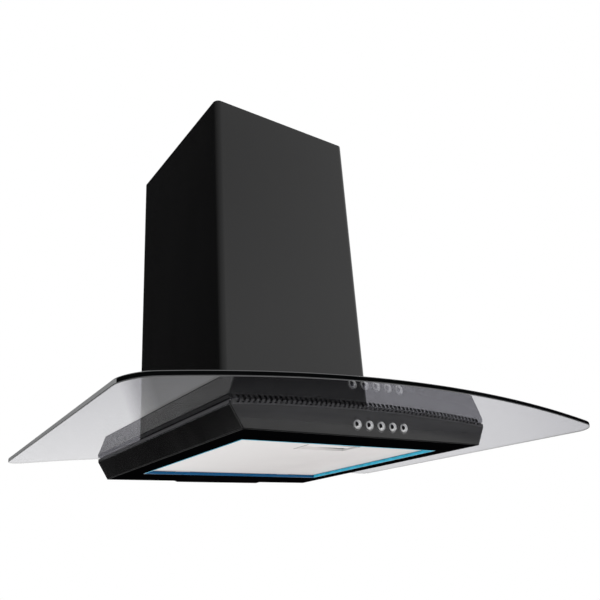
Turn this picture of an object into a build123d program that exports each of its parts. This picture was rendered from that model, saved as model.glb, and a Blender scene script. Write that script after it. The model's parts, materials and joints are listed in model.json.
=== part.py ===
"""A wall-hung curved glass range hood: black steel body, bent glass canopy and telescoping chimney.

The pieces are drawn in the hood's own frame: x to the right seen from the front, y towards the wall,
which is the plane y = 0, and z up from the body's underside. Each one is then moved down by HANG_HEIGHT,
so that the finished part has its origin at the middle of the wall bracket's four screw holes.
"""

from math import cos, radians, sin, sqrt, tan

from build123d import *

import os

# ---------------------------------------------------------------- driving dimensions, in millimetres
# curved glass canopy
GLASS_WIDTH = 600.0  # across its front edge
GLASS_REAR_WIDTH = 581.0
GLASS_OVERHANG = 69.5  # how far its front corners stand forward of the body
GLASS_BOW = 12.0  # how far the middle of the front edge stands forward of its ends
GLASS_SAG = 18.0  # how far the bent ends hang below the middle
GLASS_THICKNESS = 5.0
GLASS_CORNER_RADIUS = 25.0
GLASS_WALL_GAP = 12.0
GLASS_NOTCH_RADIUS = 12.0
GASKET_THICKNESS = 1.0
GASKET_WIDTH = 14.0

# steel body under the glass
BODY_FLARE = 13.5  # how far each side slopes outward
BODY_WALL_GAP = 16.0
BODY_SIDE_HEIGHT = 27.0  # underside of the body to underside of the glass, at the body's sides
BODY_LIP_HEIGHT = 4.0  # upright band along the top of each side
BODY_CORNER_RADIUS = 1.6
BODY_SHEET = 1.0

# notched vent strip along the top of the front face
STRIP_HEIGHT = 5.0
STRIP_END_MARGIN = 3.0
NOTCH_PITCH = 6.0
NOTCH_WIDTH = 2.9
NOTCH_HEIGHT = 3.4
NOTCH_LEAN = 32.0  # degrees from upright

# underside panel and its opening for the grease filter
FILTER_OPENING_WIDTH = 269.0
FILTER_OPENING_DEPTH = 248.0
FILTER_OPENING_REAR = 80.0  # distance of the opening's rear edge from the wall
FILTER_FRONT_RIM = 47.5  # panel left between the opening and the front face
FILTER_SIDE_RIM = 26.5
PANEL_SHEET = 1.0
PANEL_HEM_HEIGHT = 9.0
PANEL_EDGE_GAP = 0.2
PANEL_FLANGE_HEIGHT = 8.0
PANEL_FLANGE_END = 30.0  # how far the side flanges stop short of the front and rear
CORNER_BRACKET_REACH = 18.0
CORNER_BRACKET_SHEET = 1.5
FILM_THICKNESS = 0.3
FILM_LIP = 0.9

# grease filter cassette
FILTER_RECESS = 3.5  # how far its face lies above the underside
FILTER_HEIGHT = 8.5
FILTER_PLAY = 0.8
FILTER_SHEET = 0.8
FILTER_RIM = 9.0
CORE_PLEATS = 22
CORE_SHEET = 0.5
TAB_WIDTH = 20.0
TAB_REACH = 7.0
TAB_SPACING = 160.0
TAB_SHEET = 1.0
LATCH_WIDTH = 71.0
LATCH_DEPTH = 29.0
LATCH_FRONT_MARGIN = 22.0  # front edge of the filter to front edge of the finger pocket
LATCH_TRAVEL = 5.0
LATCH_TONGUE_WIDTH = 24.0
LATCH_SHEET = 1.5

# push buttons
BUTTON_NAMES = ("off", "low", "medium", "high", "lamp")
BUTTON_PITCH = 16.3
BUTTON_GROUP_X = 7.0
BUTTON_HEIGHT = 12.5  # above the underside
BUTTON_RADIUS = 4.3
BUTTON_DOME = 1.3
BUTTON_SHOULDER = 0.8
BUTTON_STAND = 2.6  # how far the button stands out of its bezel
BUTTON_TRAVEL = 2.5
STEM_RADIUS = 2.8
BEZEL_RADIUS = 6.1
BEZEL_FLANGE = 1.0
BEZEL_WALL = 0.7
SWITCH_DEPTH = 16.0
SWITCH_HEIGHT = 15.0

# lamp at the rear of the underside
LAMP_WIDTH = 139.0
LAMP_DEPTH = 54.0
LAMP_STAND = 3.0  # how far the lens stands below the underside
LAMP_CHAMFER = 5.0
LAMP_REAR = 23.0  # distance of the lens's rear edge from the wall
LAMP_HOUSING_HEIGHT = 21.0
LENS_WALL = 1.5
LED_COUNT = 6

# blower casing, which passes through the notch in the glass
CASING_SIDE_GAP = 13.0  # casing to the outside of the chimney
CASING_FRONT_GAP = 40.0
CASING_SHEET = 1.0
CASING_FLANGE = 8.0
CASING_FOOT_SHEET = 1.2
CASING_GLASS_GAP = 4.0

# blower scroll, its fan and its motor
FAN_RADIUS = 60.0
FAN_WIDTH = 84.0
FAN_RING = 11.0
FAN_SHEET = 1.6
BLADE_COUNT = 32
BLADE_SHEET = 1.0
SCROLL_TONGUE_GAP = 6.0
SCROLL_NECK = 15.0  # straight outlet above the fan
SCROLL_GAP = 3.0  # to the casing behind it
SCROLL_FLOOR_GAP = 7.0
SCROLL_STEP = 7.0
SCROLL_WALL = 2.0
SCROLL_RIM = 4.0
SCROLL_END_GAP = 4.0
INLET_RADIUS = 46.0
MOTOR_RADIUS = 38.0
MOTOR_LENGTH = 62.0
MOTOR_STEP = 5.0  # end shields smaller than the motor's middle
MOTOR_BRACKET_SHEET = 2.0
MOTOR_ARM_WIDTH = 10.0
SHAFT_RADIUS = 4.0
HUB_RADIUS = 10.0

# duct outlet and its two back-draught flaps
SPIGOT_RADIUS = 59.5
SPIGOT_HEIGHT = 45.0
SPIGOT_WALL = 2.0
SPIGOT_FLANGE = 6.5
SPIGOT_FLANGE_SHEET = 2.0
FLAP_SEAT = 3.5  # how far the flange reaches inside the collar, under the flaps
FLAP_SHEET = 1.2
FLAP_PIN_RADIUS = 1.0
KNUCKLE_RADIUS = 2.1
KNUCKLE_LENGTH = 100.0

# telescoping chimney
CHIMNEY_WIDTH = 222.0
CHIMNEY_FRONT = 247.0  # distance of the chimney's front face from the wall
CHIMNEY_TOP = 482.0
CHIMNEY_SHEET = 0.8
CHIMNEY_BEND_RADIUS = 8.0
CHIMNEY_RETURN = 14.0
CHIMNEY_WALL_GAP = 2.2
CHIMNEY_SLIDE_GAP = 0.7
UPPER_CHIMNEY_INSET = 2.0  # its top below the lower cover's top
UPPER_CHIMNEY_FLOOR = 26.0  # its lower edge above the glass
CHIMNEY_LUG_HEIGHT = 14.0
CHIMNEY_LUG_LENGTH = 30.0
CHIMNEY_LUG_SHEET = 1.2
CHIMNEY_LUG_LIFT = 5.0
VENT_COUNT = 8
VENT_PITCH = 9.0
VENT_LENGTH = 110.0
VENT_HEIGHT = 4.0
VENT_TOP_GAP = 20.0

# wall fixings
WALL_HOLE_SPACING_X = 100.0
WALL_HOLE_SPACING_Z = 70.0
WALL_HOLE_RADIUS = 4.0
BRACKET_SHEET = 2.0
BRACKET_HEIGHT = 104.0
BRACKET_TOP_GAP = 8.0  # below the casing's top
BRACKET_HALF_WIDTH = 70.0
BRACKET_FOOT = 22.0
TOP_BRACKET_SHEET = 1.5
TOP_BRACKET_HEIGHT = 30.0
TOP_BRACKET_DROP = 4.0
TOP_BRACKET_LEG = 38.0
TOP_BRACKET_HALF_WIDTH = 88.0
TOP_BRACKET_HOLE_SPACING = 140.0

# fasteners, electrics and clearances
SCREW_RADIUS = 2.0
SCREW_LENGTH = 14.0
CAP_RADIUS = 8.0
CAP_HEIGHT = 4.0
CAP_BEVEL = 1.5
GLAND_RADIUS = 9.0
GLAND_BORE_RADIUS = 4.0
GLAND_SIDE_INSET = 30.0
GLAND_REAR_INSET = 22.0
CAPACITOR_RADIUS = 14.0
CAPACITOR_HEIGHT = 50.0
CAPACITOR_GAP = 1.5
STRAP_HEIGHT = 10.0
STRAP_SHEET = 1.0
JUNCTION_WIDTH = 22.0
JUNCTION_DEPTH = 44.0
JUNCTION_HEIGHT = 54.0
JUNCTION_WALL = 2.0
JUNCTION_INSET = 12.0
SEAT_GAP = 0.05  # between pieces of one body whose curved faces meet
MOVING_GAP = 0.3  # between pieces that move past each other
RUNNING_GAP = 0.05  # radial, shaft in bearing and pin in knuckle

# ---------------------------------------------------------------- sizes worked out from those above
BODY_FRONT = FILTER_OPENING_REAR + FILTER_OPENING_DEPTH + FILTER_FRONT_RIM  # front face to the wall
BODY_BOTTOM_WIDTH = FILTER_OPENING_WIDTH + 2 * FILTER_SIDE_RIM
BODY_TOP_WIDTH = BODY_BOTTOM_WIDTH + 2 * BODY_FLARE
GLASS_FRONT = BODY_FRONT + GLASS_OVERHANG
GLASS_RADIUS = (GLASS_WIDTH**2 / 4 + GLASS_SAG**2) / (2 * GLASS_SAG)
FILTER_OPENING_FRONT = FILTER_OPENING_REAR + FILTER_OPENING_DEPTH
FILTER_GAP = FILM_THICKNESS + FILTER_PLAY
FILTER_WIDTH = FILTER_OPENING_WIDTH - 2 * FILTER_GAP
FILTER_DEPTH = FILTER_OPENING_DEPTH - 2 * FILTER_GAP
FILTER_REAR_Y = -FILTER_OPENING_REAR - FILTER_GAP
FILTER_FRONT_Y = FILTER_REAR_Y - FILTER_DEPTH
FILTER_TOP = FILTER_RECESS + FILTER_HEIGHT
SLOPE_TOP = BODY_SIDE_HEIGHT - GASKET_THICKNESS - BODY_LIP_HEIGHT
CASING_WIDTH = CHIMNEY_WIDTH - 2 * CASING_SIDE_GAP
CASING_REAR_Y = -BODY_WALL_GAP
CASING_FRONT_Y = CASING_FRONT_GAP - CHIMNEY_FRONT
CASING_DEPTH = CASING_REAR_Y - CASING_FRONT_Y
SCROLL_HALF_WIDTH = FAN_WIDTH / 2 + SCROLL_END_GAP + SCROLL_WALL
SCROLL_RADIUS = FAN_RADIUS + SCROLL_TONGUE_GAP
SCROLL_SKIN = SCROLL_WALL + SCROLL_RIM
FAN_Y = CASING_REAR_Y - CASING_SHEET - SCROLL_GAP - SCROLL_SKIN - SCROLL_RADIUS
SCROLL_FRONT = SCROLL_RADIUS + 3 * SCROLL_STEP  # fan centre to the scroll's straight front wall
SPIGOT_Y = FAN_Y - SCROLL_FRONT / 2
SPIGOT_BORE = SPIGOT_RADIUS - SPIGOT_WALL
FLAP_RADIUS = SPIGOT_BORE - 2 * MOVING_GAP
LATCH_POCKET_ROOF = PANEL_HEM_HEIGHT - 0.1
LATCH_FRONT_Y = FILTER_FRONT_Y + LATCH_FRONT_MARGIN
MOTOR_START_X = -6.0
HUB_FACE_X = MOTOR_START_X - 2.0


def glass_drop(x):
    """How far the bent glass has fallen at x from its crest in the middle."""
    return GLASS_RADIUS - sqrt(GLASS_RADIUS**2 - x**2)


GLASS_CREST = BODY_SIDE_HEIGHT + glass_drop(BODY_TOP_WIDTH / 2)
DECK_TOP = GLASS_CREST - GASKET_THICKNESS
FAN_Z = DECK_TOP + SCROLL_FLOOR_GAP + SCROLL_SKIN + SCROLL_RADIUS + SCROLL_STEP
CASING_TOP = FAN_Z + SCROLL_RADIUS + SCROLL_NECK + CASING_SHEET
FLAP_SEAT_TOP = CASING_TOP + SPIGOT_FLANGE_SHEET
FLAP_AXIS_X = KNUCKLE_RADIUS + 0.5
FLAP_AXIS_Z = FLAP_SEAT_TOP + MOVING_GAP + KNUCKLE_RADIUS
HANG_HEIGHT = CASING_TOP - BRACKET_TOP_GAP - BRACKET_HEIGHT / 2  # wall screws above the underside


# ---------------------------------------------------------------- shared shapes
def block(x0, x1, y0, y1, z0, z1):
    """A box between two corners, given in either order."""
    centre = Pos((x0 + x1) / 2, (y0 + y1) / 2, (z0 + z1) / 2)
    return centre * Box(abs(x1 - x0), abs(y1 - y0), abs(z1 - z0))


def rod(radius, start, end):
    """A round bar between two points."""
    path = Vector(*end) - Vector(*start)
    plane = Plane(origin=start, z_dir=path)
    return extrude(plane * Circle(radius), amount=path.length)


def tube(outer, inner, start, end):
    """A round tube between two points."""
    return rod(outer, start, end) - rod(inner, start, end)


def bend_cylinder(offset):
    """A solid cylinder on the axis of the glass's bend, `offset` outside the glass's underside."""
    axis_z = GLASS_CREST - GLASS_RADIUS
    return rod(GLASS_RADIUS + offset, (0, GLASS_FRONT, axis_z), (0, -2 * GLASS_FRONT, axis_z))


def bend_band(inner, outer):
    """The layer between two offsets from the glass's underside."""
    return bend_cylinder(outer) - bend_cylinder(inner)


def mirrored(shape):
    """The shape's other hand, across the plane x = 0."""
    return mirror(shape, about=Plane.YZ)


def hole(place, way, length, radius):
    """The solid to cut away for a round hole that starts just before `place`."""
    start = Vector(*place) - Vector(*way) * length
    end = Vector(*place) + Vector(*way) * length
    return rod(radius, tuple(start), tuple(end))


def group(solids):
    """Separate solids kept together as one node."""
    return Compound(children=list(solids))


# ---------------------------------------------------------------- steel body
def body_section(width, height, inset):
    """The body's plan at one height, drawn in by `inset` all round."""
    depth = BODY_FRONT - BODY_WALL_GAP
    centre = Pos(0, -(BODY_FRONT + BODY_WALL_GAP) / 2, height)
    radius = max(BODY_CORNER_RADIUS - inset, 0.5)
    return centre * RectangleRounded(width - 2 * inset, depth - 2 * inset, radius)


def body_block(inset, roof, floor):
    """The body's outer form drawn in by `inset`, from `floor` up to `roof` above the glass's underside."""
    bottom = body_section(BODY_BOTTOM_WIDTH, 0, inset)
    shoulder = body_section(BODY_TOP_WIDTH, SLOPE_TOP, inset)
    slope = loft([bottom, shoulder])
    upright = extrude(shoulder, amount=2 * BODY_SIDE_HEIGHT)
    solid = slope + upright
    if floor < 0:
        solid += extrude(bottom, amount=floor)
    return solid & bend_cylinder(roof)


def strip_region():
    """The part of the front wall that the vent strip takes up, open above."""
    half = BODY_TOP_WIDTH / 2 - STRIP_END_MARGIN
    wall = block(-half, half, -BODY_FRONT, -BODY_FRONT + BODY_SHEET, 0, 2 * BODY_SIDE_HEIGHT)
    return wall - bend_cylinder(-STRIP_HEIGHT)


def button_places():
    """The x of each push button."""
    middle = (len(BUTTON_NAMES) - 1) / 2
    return [BUTTON_GROUP_X + (i - middle) * BUTTON_PITCH for i in range(len(BUTTON_NAMES))]


def glass_screw_places():
    """Plan places of the four screws that hold the glass down."""
    x = BODY_TOP_WIDTH / 2 - GASKET_WIDTH - CAP_RADIUS
    front = -BODY_FRONT + 2 * GASKET_WIDTH
    rear = -BODY_WALL_GAP - 2 * GASKET_WIDTH
    return [(side * x, y) for side in (-1, 1) for y in (front, rear)]


def canopy_shell():
    """Folded steel body: front, sides, rear and the arched top deck, open below."""
    shell = body_block(0, -GASKET_THICKNESS, 0) - body_block(BODY_SHEET, -GASKET_THICKNESS - BODY_SHEET, -5)
    half = CASING_WIDTH / 2 - CASING_FLANGE
    front = CASING_FRONT_Y + CASING_FLANGE
    rear = CASING_REAR_Y - CASING_FLANGE
    shell -= block(-half, half, front, rear, SLOPE_TOP, 2 * BODY_SIDE_HEIGHT)
    shell -= strip_region()
    shell -= [
        hole((x, -BODY_FRONT, BUTTON_HEIGHT), (0, 1, 0), 2 * BODY_SHEET, BEZEL_RADIUS - BEZEL_WALL)
        for x in button_places()
    ]
    bore = SCREW_RADIUS + SEAT_GAP
    reach = BODY_SIDE_HEIGHT
    return shell - [hole((x, y, DECK_TOP), (0, 0, 1), reach, bore) for x, y in glass_screw_places()]


def front_vent_strip():
    """Comb of leaning notches that fills the gap between the front face and the glass."""
    strip = strip_region() & bend_cylinder(-SEAT_GAP)
    strip -= bend_cylinder(SEAT_GAP - STRIP_HEIGHT)
    half = BODY_TOP_WIDTH / 2 - STRIP_END_MARGIN - NOTCH_PITCH
    count = int(2 * half / NOTCH_PITCH) + 1
    lean = (NOTCH_HEIGHT + STRIP_HEIGHT) * tan(radians(NOTCH_LEAN))
    low = -NOTCH_HEIGHT
    notch = Polyline(
        (0, low),
        (NOTCH_WIDTH, low),
        (NOTCH_WIDTH + lean, STRIP_HEIGHT),
        (lean, STRIP_HEIGHT),
        close=True,
    )
    cutter = extrude(Plane.XZ * make_face(notch), amount=BODY_SHEET, both=True)
    starts = [(i - (count - 1) / 2) * NOTCH_PITCH - NOTCH_WIDTH for i in range(count)]
    tops = [Pos(x, -BODY_FRONT, GLASS_CREST - glass_drop(x)) for x in starts]
    return strip - [top * cutter for top in tops]


def glass_gasket():
    """Foam ring between the steel deck and the glass."""
    outer = body_section(BODY_TOP_WIDTH, 0, BODY_SHEET + 1.0)
    inner = body_section(BODY_TOP_WIDTH, 0, BODY_SHEET + GASKET_WIDTH)
    ring = extrude(outer - inner, amount=2 * BODY_SIDE_HEIGHT)
    half = CASING_WIDTH / 2 + CASING_GLASS_GAP
    ring -= block(-half, half, CASING_FRONT_Y, 0, 0, 2 * BODY_SIDE_HEIGHT)
    return ring & bend_band(SEAT_GAP - GASKET_THICKNESS, -SEAT_GAP)


def corner_brackets():
    """Four angles in the body's corners that the underside panel is fixed to."""
    reach = CORNER_BRACKET_REACH
    sheet = CORNER_BRACKET_SHEET
    x = BODY_BOTTOM_WIDTH / 2 - BODY_SHEET - PANEL_EDGE_GAP - PANEL_SHEET - SEAT_GAP
    solids = []
    for wall_y, inward in ((-BODY_FRONT + BODY_SHEET, 1), (-BODY_WALL_GAP - BODY_SHEET, -1)):
        base = block(x - reach, x, wall_y, wall_y + inward * reach, PANEL_SHEET, PANEL_SHEET + sheet)
        web = block(x - reach, x, wall_y, wall_y + inward * sheet, PANEL_SHEET, PANEL_SHEET + reach)
        solids += [base + web, mirrored(base + web)]
    return group(solids)


# ---------------------------------------------------------------- underside panel and filter
def opening_ring(grow_out, grow_in, z0, z1):
    """An upright ring around the filter opening, between two offsets outward from its edge."""
    y_mid = -(FILTER_OPENING_FRONT + FILTER_OPENING_REAR) / 2
    outer = Rectangle(FILTER_OPENING_WIDTH + 2 * grow_out, FILTER_OPENING_DEPTH + 2 * grow_out)
    inner = Rectangle(FILTER_OPENING_WIDTH + 2 * grow_in, FILTER_OPENING_DEPTH + 2 * grow_in)
    return Pos(0, y_mid, z0) * extrude(outer - inner, amount=z1 - z0)


def lamp_block(inset, z0, z1):
    """A box over the lamp's plan, drawn in by `inset`."""
    half = LAMP_WIDTH / 2 - inset
    return block(-half, half, -LAMP_REAR - LAMP_DEPTH + inset, -LAMP_REAR - inset, z0, z1)


def underside_panel():
    """Pressed panel that closes the body below, with a hemmed filter opening and a lamp opening."""
    clearance = BODY_SHEET + PANEL_EDGE_GAP
    half = BODY_BOTTOM_WIDTH / 2 - clearance
    front = -BODY_FRONT + PANEL_FLANGE_END
    rear = -BODY_WALL_GAP - PANEL_FLANGE_END
    flange = block(half - PANEL_SHEET, half, front, rear, 0, PANEL_FLANGE_HEIGHT)
    panel = extrude(body_section(BODY_BOTTOM_WIDTH, 0, clearance), amount=PANEL_SHEET)
    panel += flange + mirrored(flange)
    panel -= opening_ring(0, -FILTER_OPENING_DEPTH / 2, -1, PANEL_SHEET + 1)
    panel += opening_ring(PANEL_SHEET, 0, 0, PANEL_HEM_HEIGHT)
    for side in (-1, 1):
        x = side * TAB_SPACING / 2
        half = TAB_WIDTH / 2 + 1.0
        floor = FILTER_RECESS - MOVING_GAP
        y = -FILTER_OPENING_REAR
        panel -= block(x - half, x + half, y - 1, y + 2 * PANEL_SHEET, floor, 2 * PANEL_HEM_HEIGHT)
    return panel - lamp_block(LAMP_CHAMFER + LENS_WALL, -1, PANEL_SHEET + 1)


def opening_film():
    """Thin blue protective film left on the filter opening's hem, turned out under its edge."""
    wall = opening_ring(0, -FILM_THICKNESS, -FILM_THICKNESS, FILTER_RECESS - MOVING_GAP)
    lip = opening_ring(FILM_LIP, -FILM_THICKNESS, -FILM_THICKNESS, 0)
    return wall + lip


def filter_block(inset, z0, z1):
    """A box over the filter's plan, drawn in by `inset`."""
    half = FILTER_WIDTH / 2 - inset
    return block(-half, half, FILTER_FRONT_Y + inset, FILTER_REAR_Y - inset, z0, z1)


def tongue_levels():
    """Lower and upper z of the latch's tongue, just above the top of the panel's hem."""
    low = PANEL_HEM_HEIGHT + MOVING_GAP
    return low, low + LATCH_SHEET


def filter_frame():
    """Channel-section aluminium frame with two hooks that rest in the panel's rear hem."""
    frame = filter_block(0, FILTER_RECESS, FILTER_TOP)
    frame -= filter_block(FILTER_SHEET, FILTER_RECESS + FILTER_SHEET, FILTER_TOP - FILTER_SHEET)
    frame -= filter_block(FILTER_RIM, FILTER_RECESS - 1, FILTER_TOP + 1)
    low, high = tongue_levels()
    half = LATCH_TONGUE_WIDTH / 2 + MOVING_GAP
    front = FILTER_FRONT_Y
    frame -= block(-half, half, front - 1, front + 2 * FILTER_SHEET, low - MOVING_GAP, high + MOVING_GAP)
    for side in (-1, 1):
        x = side * TAB_SPACING / 2
        rear = FILTER_REAR_Y
        top = FILTER_RECESS + TAB_SHEET
        frame += block(x - TAB_WIDTH / 2, x + TAB_WIDTH / 2, rear - 2, rear + TAB_REACH, FILTER_RECESS, top)
    return frame


def latch_area(inset, z0, z1):
    """A box over the finger pocket's plan, drawn in by `inset`."""
    half = LATCH_WIDTH / 2 - inset
    return block(-half, half, LATCH_FRONT_Y + inset, LATCH_FRONT_Y + LATCH_DEPTH - inset, z0, z1)


def filter_face():
    """Pressed mesh sheet seen from below, with an opening for the finger pocket."""
    face = filter_block(FILTER_RIM, FILTER_RECESS, FILTER_RECESS + FILTER_SHEET)
    return face - latch_area(0, FILTER_RECESS - 1, FILTER_RECESS + 2)


def filter_back():
    """Mesh sheet that closes the cassette above."""
    return filter_block(FILTER_RIM, FILTER_TOP - FILTER_SHEET, FILTER_TOP)


def filter_core():
    """Pleated aluminium mesh between the two sheets, behind the finger pocket."""
    half = FILTER_WIDTH / 2 - FILTER_RIM - 2
    rear = FILTER_REAR_Y - FILTER_RIM - 2
    front = LATCH_FRONT_Y + LATCH_DEPTH + 3
    low = FILTER_RECESS + FILTER_SHEET
    high = FILTER_TOP - FILTER_SHEET
    pitch = (rear - front) / CORE_PLEATS
    folds = [(front + i * pitch / 2, high - CORE_SHEET if i % 2 else low) for i in range(2 * CORE_PLEATS + 1)]
    above = [(y, z + CORE_SHEET) for y, z in reversed(folds)]
    profile = make_face(Polyline(*folds, *above, close=True))
    return Pos(-half, 0, 0) * extrude(Plane.YZ * profile, amount=2 * half)


def latch_pocket():
    """Finger pocket pressed up into the filter, slotted for the latch's neck."""
    wall = 0.8
    cup = latch_area(0, FILTER_RECESS, LATCH_POCKET_ROOF) - latch_area(wall, 0, LATCH_POCKET_ROOF - wall)
    y = LATCH_FRONT_Y + LATCH_DEPTH / 2
    half = LATCH_TONGUE_WIDTH / 2 + MOVING_GAP
    reach = LATCH_TRAVEL + 2 * MOVING_GAP + LATCH_SHEET
    return cup - block(-half, half, y - MOVING_GAP, y + reach, LATCH_POCKET_ROOF - 2, LATCH_POCKET_ROOF + 1)


def latch_slider():
    """Sliding catch: finger plate in the pocket, neck through its roof and tongue over the front hem."""
    low, high = tongue_levels()
    neck_y = LATCH_FRONT_Y + LATCH_DEPTH / 2
    half = LATCH_TONGUE_WIDTH / 2
    tip_y = -FILTER_OPENING_FRONT - PANEL_SHEET - 1.6
    arm = block(-half, half, tip_y, neck_y + LATCH_SHEET, low, high)
    plate_low = FILTER_RECESS + 1.2
    neck = block(-half, half, neck_y, neck_y + LATCH_SHEET, plate_low, high)
    grip = LATCH_WIDTH / 2 - 5
    plate = block(-grip, grip, neck_y - 8, neck_y + LATCH_SHEET, plate_low, plate_low + LATCH_SHEET)
    return arm + neck + plate


# ---------------------------------------------------------------- push buttons and switches
def bezel_seat():
    """The y where a bezel's sleeve ends behind the front wall."""
    return -BODY_FRONT + BODY_SHEET + 2.5


def button(x):
    """Domed chrome push button with its retaining shoulder and stem."""
    front = -BODY_FRONT - BEZEL_FLANGE - BUTTON_STAND
    shoulder = bezel_seat() + MOVING_GAP
    head = rod(BUTTON_RADIUS, (x, front, BUTTON_HEIGHT), (x, shoulder + 1, BUTTON_HEIGHT))
    rim = head.faces().sort_by(Axis.Y)[0].edges()
    collar = rod(BUTTON_RADIUS + BUTTON_SHOULDER, (x, shoulder, BUTTON_HEIGHT), (x, shoulder + 1, BUTTON_HEIGHT))
    tip = shoulder + 1 + BUTTON_TRAVEL + SWITCH_DEPTH / 3
    stem = rod(STEM_RADIUS, (x, shoulder, BUTTON_HEIGHT), (x, tip, BUTTON_HEIGHT))
    return fillet(rim, BUTTON_DOME) + collar + stem


def button_bezels():
    """Chrome rings that line the button holes in the front face."""
    bore = BUTTON_RADIUS + MOVING_GAP
    sleeve = BEZEL_RADIUS - BEZEL_WALL - SEAT_GAP
    solids = []
    for x in button_places():
        face = (x, -BODY_FRONT, BUTTON_HEIGHT)
        front = (x, -BODY_FRONT - BEZEL_FLANGE, BUTTON_HEIGHT)
        ring = rod(BEZEL_RADIUS, front, face) + rod(sleeve, face, (x, bezel_seat(), BUTTON_HEIGHT))
        solids.append(ring - hole(face, (0, 1, 0), 2 * BEZEL_RADIUS, bore))
    return group(solids)


def switch_front():
    """The y of the switch bank's front, clear of the buttons when they are pressed home."""
    return bezel_seat() + MOVING_GAP + 1 + BUTTON_TRAVEL + MOVING_GAP


def switch_half_width():
    """Half the switch bank's width."""
    return len(BUTTON_NAMES) * BUTTON_PITCH / 2 + 3


def switch_bank():
    """Moulded housing of the five interlocked switches, bored for the button stems."""
    half = switch_half_width()
    low = BUTTON_HEIGHT - SWITCH_HEIGHT / 2
    front = switch_front()
    x = BUTTON_GROUP_X
    bank = block(x - half, x + half, front, front + SWITCH_DEPTH, low, low + SWITCH_HEIGHT)
    bore = STEM_RADIUS + MOVING_GAP
    reach = SWITCH_DEPTH / 2
    return bank - [hole((x, front, BUTTON_HEIGHT), (0, 1, 0), reach, bore) for x in button_places()]


def switch_terminals():
    """Spade terminals at the back of the switch bank."""
    rear = switch_front() + SWITCH_DEPTH
    places = [x + shift for x in button_places() for shift in (-3.5, 3.5)]
    return group([block(x - 0.4, x + 0.4, rear, rear + 7, 9, 15.3) for x in places])


def switch_bracket():
    """Folded strap that holds the switch bank behind the front wall."""
    sheet = 1.0
    half = switch_half_width()
    wall = -BODY_FRONT + BODY_SHEET
    rear = switch_front() + SWITCH_DEPTH * 0.6
    left = BUTTON_GROUP_X - half
    right = BUTTON_GROUP_X + half
    low = BUTTON_HEIGHT - SWITCH_HEIGHT / 2
    arms = []
    for face, way in ((left, -1), (right, 1)):
        arm = block(*sorted((face, face + way * sheet)), wall, rear, low, low + SWITCH_HEIGHT)
        foot = block(*sorted((face, face + way * 12)), wall, wall + sheet, low, low + SWITCH_HEIGHT)
        arms.append(arm + foot)
    return group(arms)


# ---------------------------------------------------------------- lamp
def lamp_lens():
    """Smoked lamp cover with bevelled edges, standing a little below the underside."""
    y = -LAMP_REAR - LAMP_DEPTH / 2
    top = Pos(0, y, 0) * Rectangle(LAMP_WIDTH, LAMP_DEPTH)
    face = Pos(0, y, -LAMP_STAND) * Rectangle(LAMP_WIDTH - 2 * LAMP_CHAMFER, LAMP_DEPTH - 2 * LAMP_CHAMFER)
    lens = loft([face, top]) + lamp_block(LAMP_CHAMFER + LENS_WALL, 0, PANEL_SHEET + 2)
    return lens - lamp_block(LAMP_CHAMFER + 2 * LENS_WALL, LENS_WALL - LAMP_STAND, PANEL_SHEET + 3)


def lamp_housing():
    """Folded reflector box over the lamp opening, standing on the underside panel."""
    inset = LAMP_CHAMFER + LENS_WALL - 2.0
    sheet = 0.8
    roof = PANEL_SHEET + LAMP_HOUSING_HEIGHT
    return lamp_block(inset, PANEL_SHEET, roof) - lamp_block(inset + sheet, 0, roof - sheet)


def lamp_board():
    """Circuit board of the lamp, against the roof of its housing."""
    roof = PANEL_SHEET + LAMP_HOUSING_HEIGHT - 0.8
    return lamp_block(LAMP_DEPTH / 4, roof - 1.6, roof)


def lamp_leds():
    """The lamp's light-emitting chips."""
    top = PANEL_SHEET + LAMP_HOUSING_HEIGHT - 2.4
    y = -LAMP_REAR - LAMP_DEPTH / 2
    pitch = (LAMP_WIDTH - LAMP_DEPTH) / LED_COUNT
    places = [(i - (LED_COUNT - 1) / 2) * pitch for i in range(LED_COUNT)]
    return group([block(x - 2.5, x + 2.5, y - 2.5, y + 2.5, top - 1.2, top) for x in places])


# ---------------------------------------------------------------- glass canopy
def glass_plan():
    """The flat outline of the glass: bowed front, tapered sides, rounded corners, notch behind."""
    rear = -GLASS_WALL_GAP
    front = -GLASS_FRONT
    half_front = GLASS_WIDTH / 2
    half_rear = GLASS_REAR_WIDTH / 2
    edges = [
        Line((-half_front, front), (-half_rear, rear)),
        Line((-half_rear, rear), (half_rear, rear)),
        Line((half_rear, rear), (half_front, front)),
        ThreePointArc((half_front, front), (0, front - GLASS_BOW), (-half_front, front)),
    ]
    outline = make_face(edges)
    outline = fillet(outline.vertices(), GLASS_CORNER_RADIUS)
    half_notch = CASING_WIDTH / 2 + CASING_GLASS_GAP
    notch_front = CASING_FRONT_Y - CASING_GLASS_GAP
    notch = Pos(0, notch_front) * Rectangle(2 * half_notch, -2 * notch_front)
    notch = fillet(notch.vertices(), GLASS_NOTCH_RADIUS)
    notch = Pos(0, -notch_front) * notch
    return outline - notch


def glass_canopy():
    """Bent sheet of tempered glass that lies on the body."""
    tall = 2 * (GLASS_CREST + GLASS_THICKNESS)
    column = extrude(glass_plan(), amount=tall)
    glass = column & bend_band(0, GLASS_THICKNESS)
    return glass - [
        hole((x, y, GLASS_CREST), (0, 0, 1), tall, 2 * SCREW_RADIUS + 1) for x, y in glass_screw_places()
    ]


def glass_screws():
    """Cap screws on top of the glass."""
    solids = []
    for x, y in glass_screw_places():
        seat = GLASS_CREST - glass_drop(abs(x) - CAP_RADIUS) + GLASS_THICKNESS + SEAT_GAP
        cap = rod(CAP_RADIUS, (x, y, seat), (x, y, seat + CAP_HEIGHT))
        rim = cap.faces().sort_by(Axis.Z)[-1].edges()
        shank = rod(SCREW_RADIUS, (x, y, seat - SCREW_LENGTH), (x, y, seat))
        solids.append(chamfer(rim, CAP_BEVEL) + shank)
    return group(solids)


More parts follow.
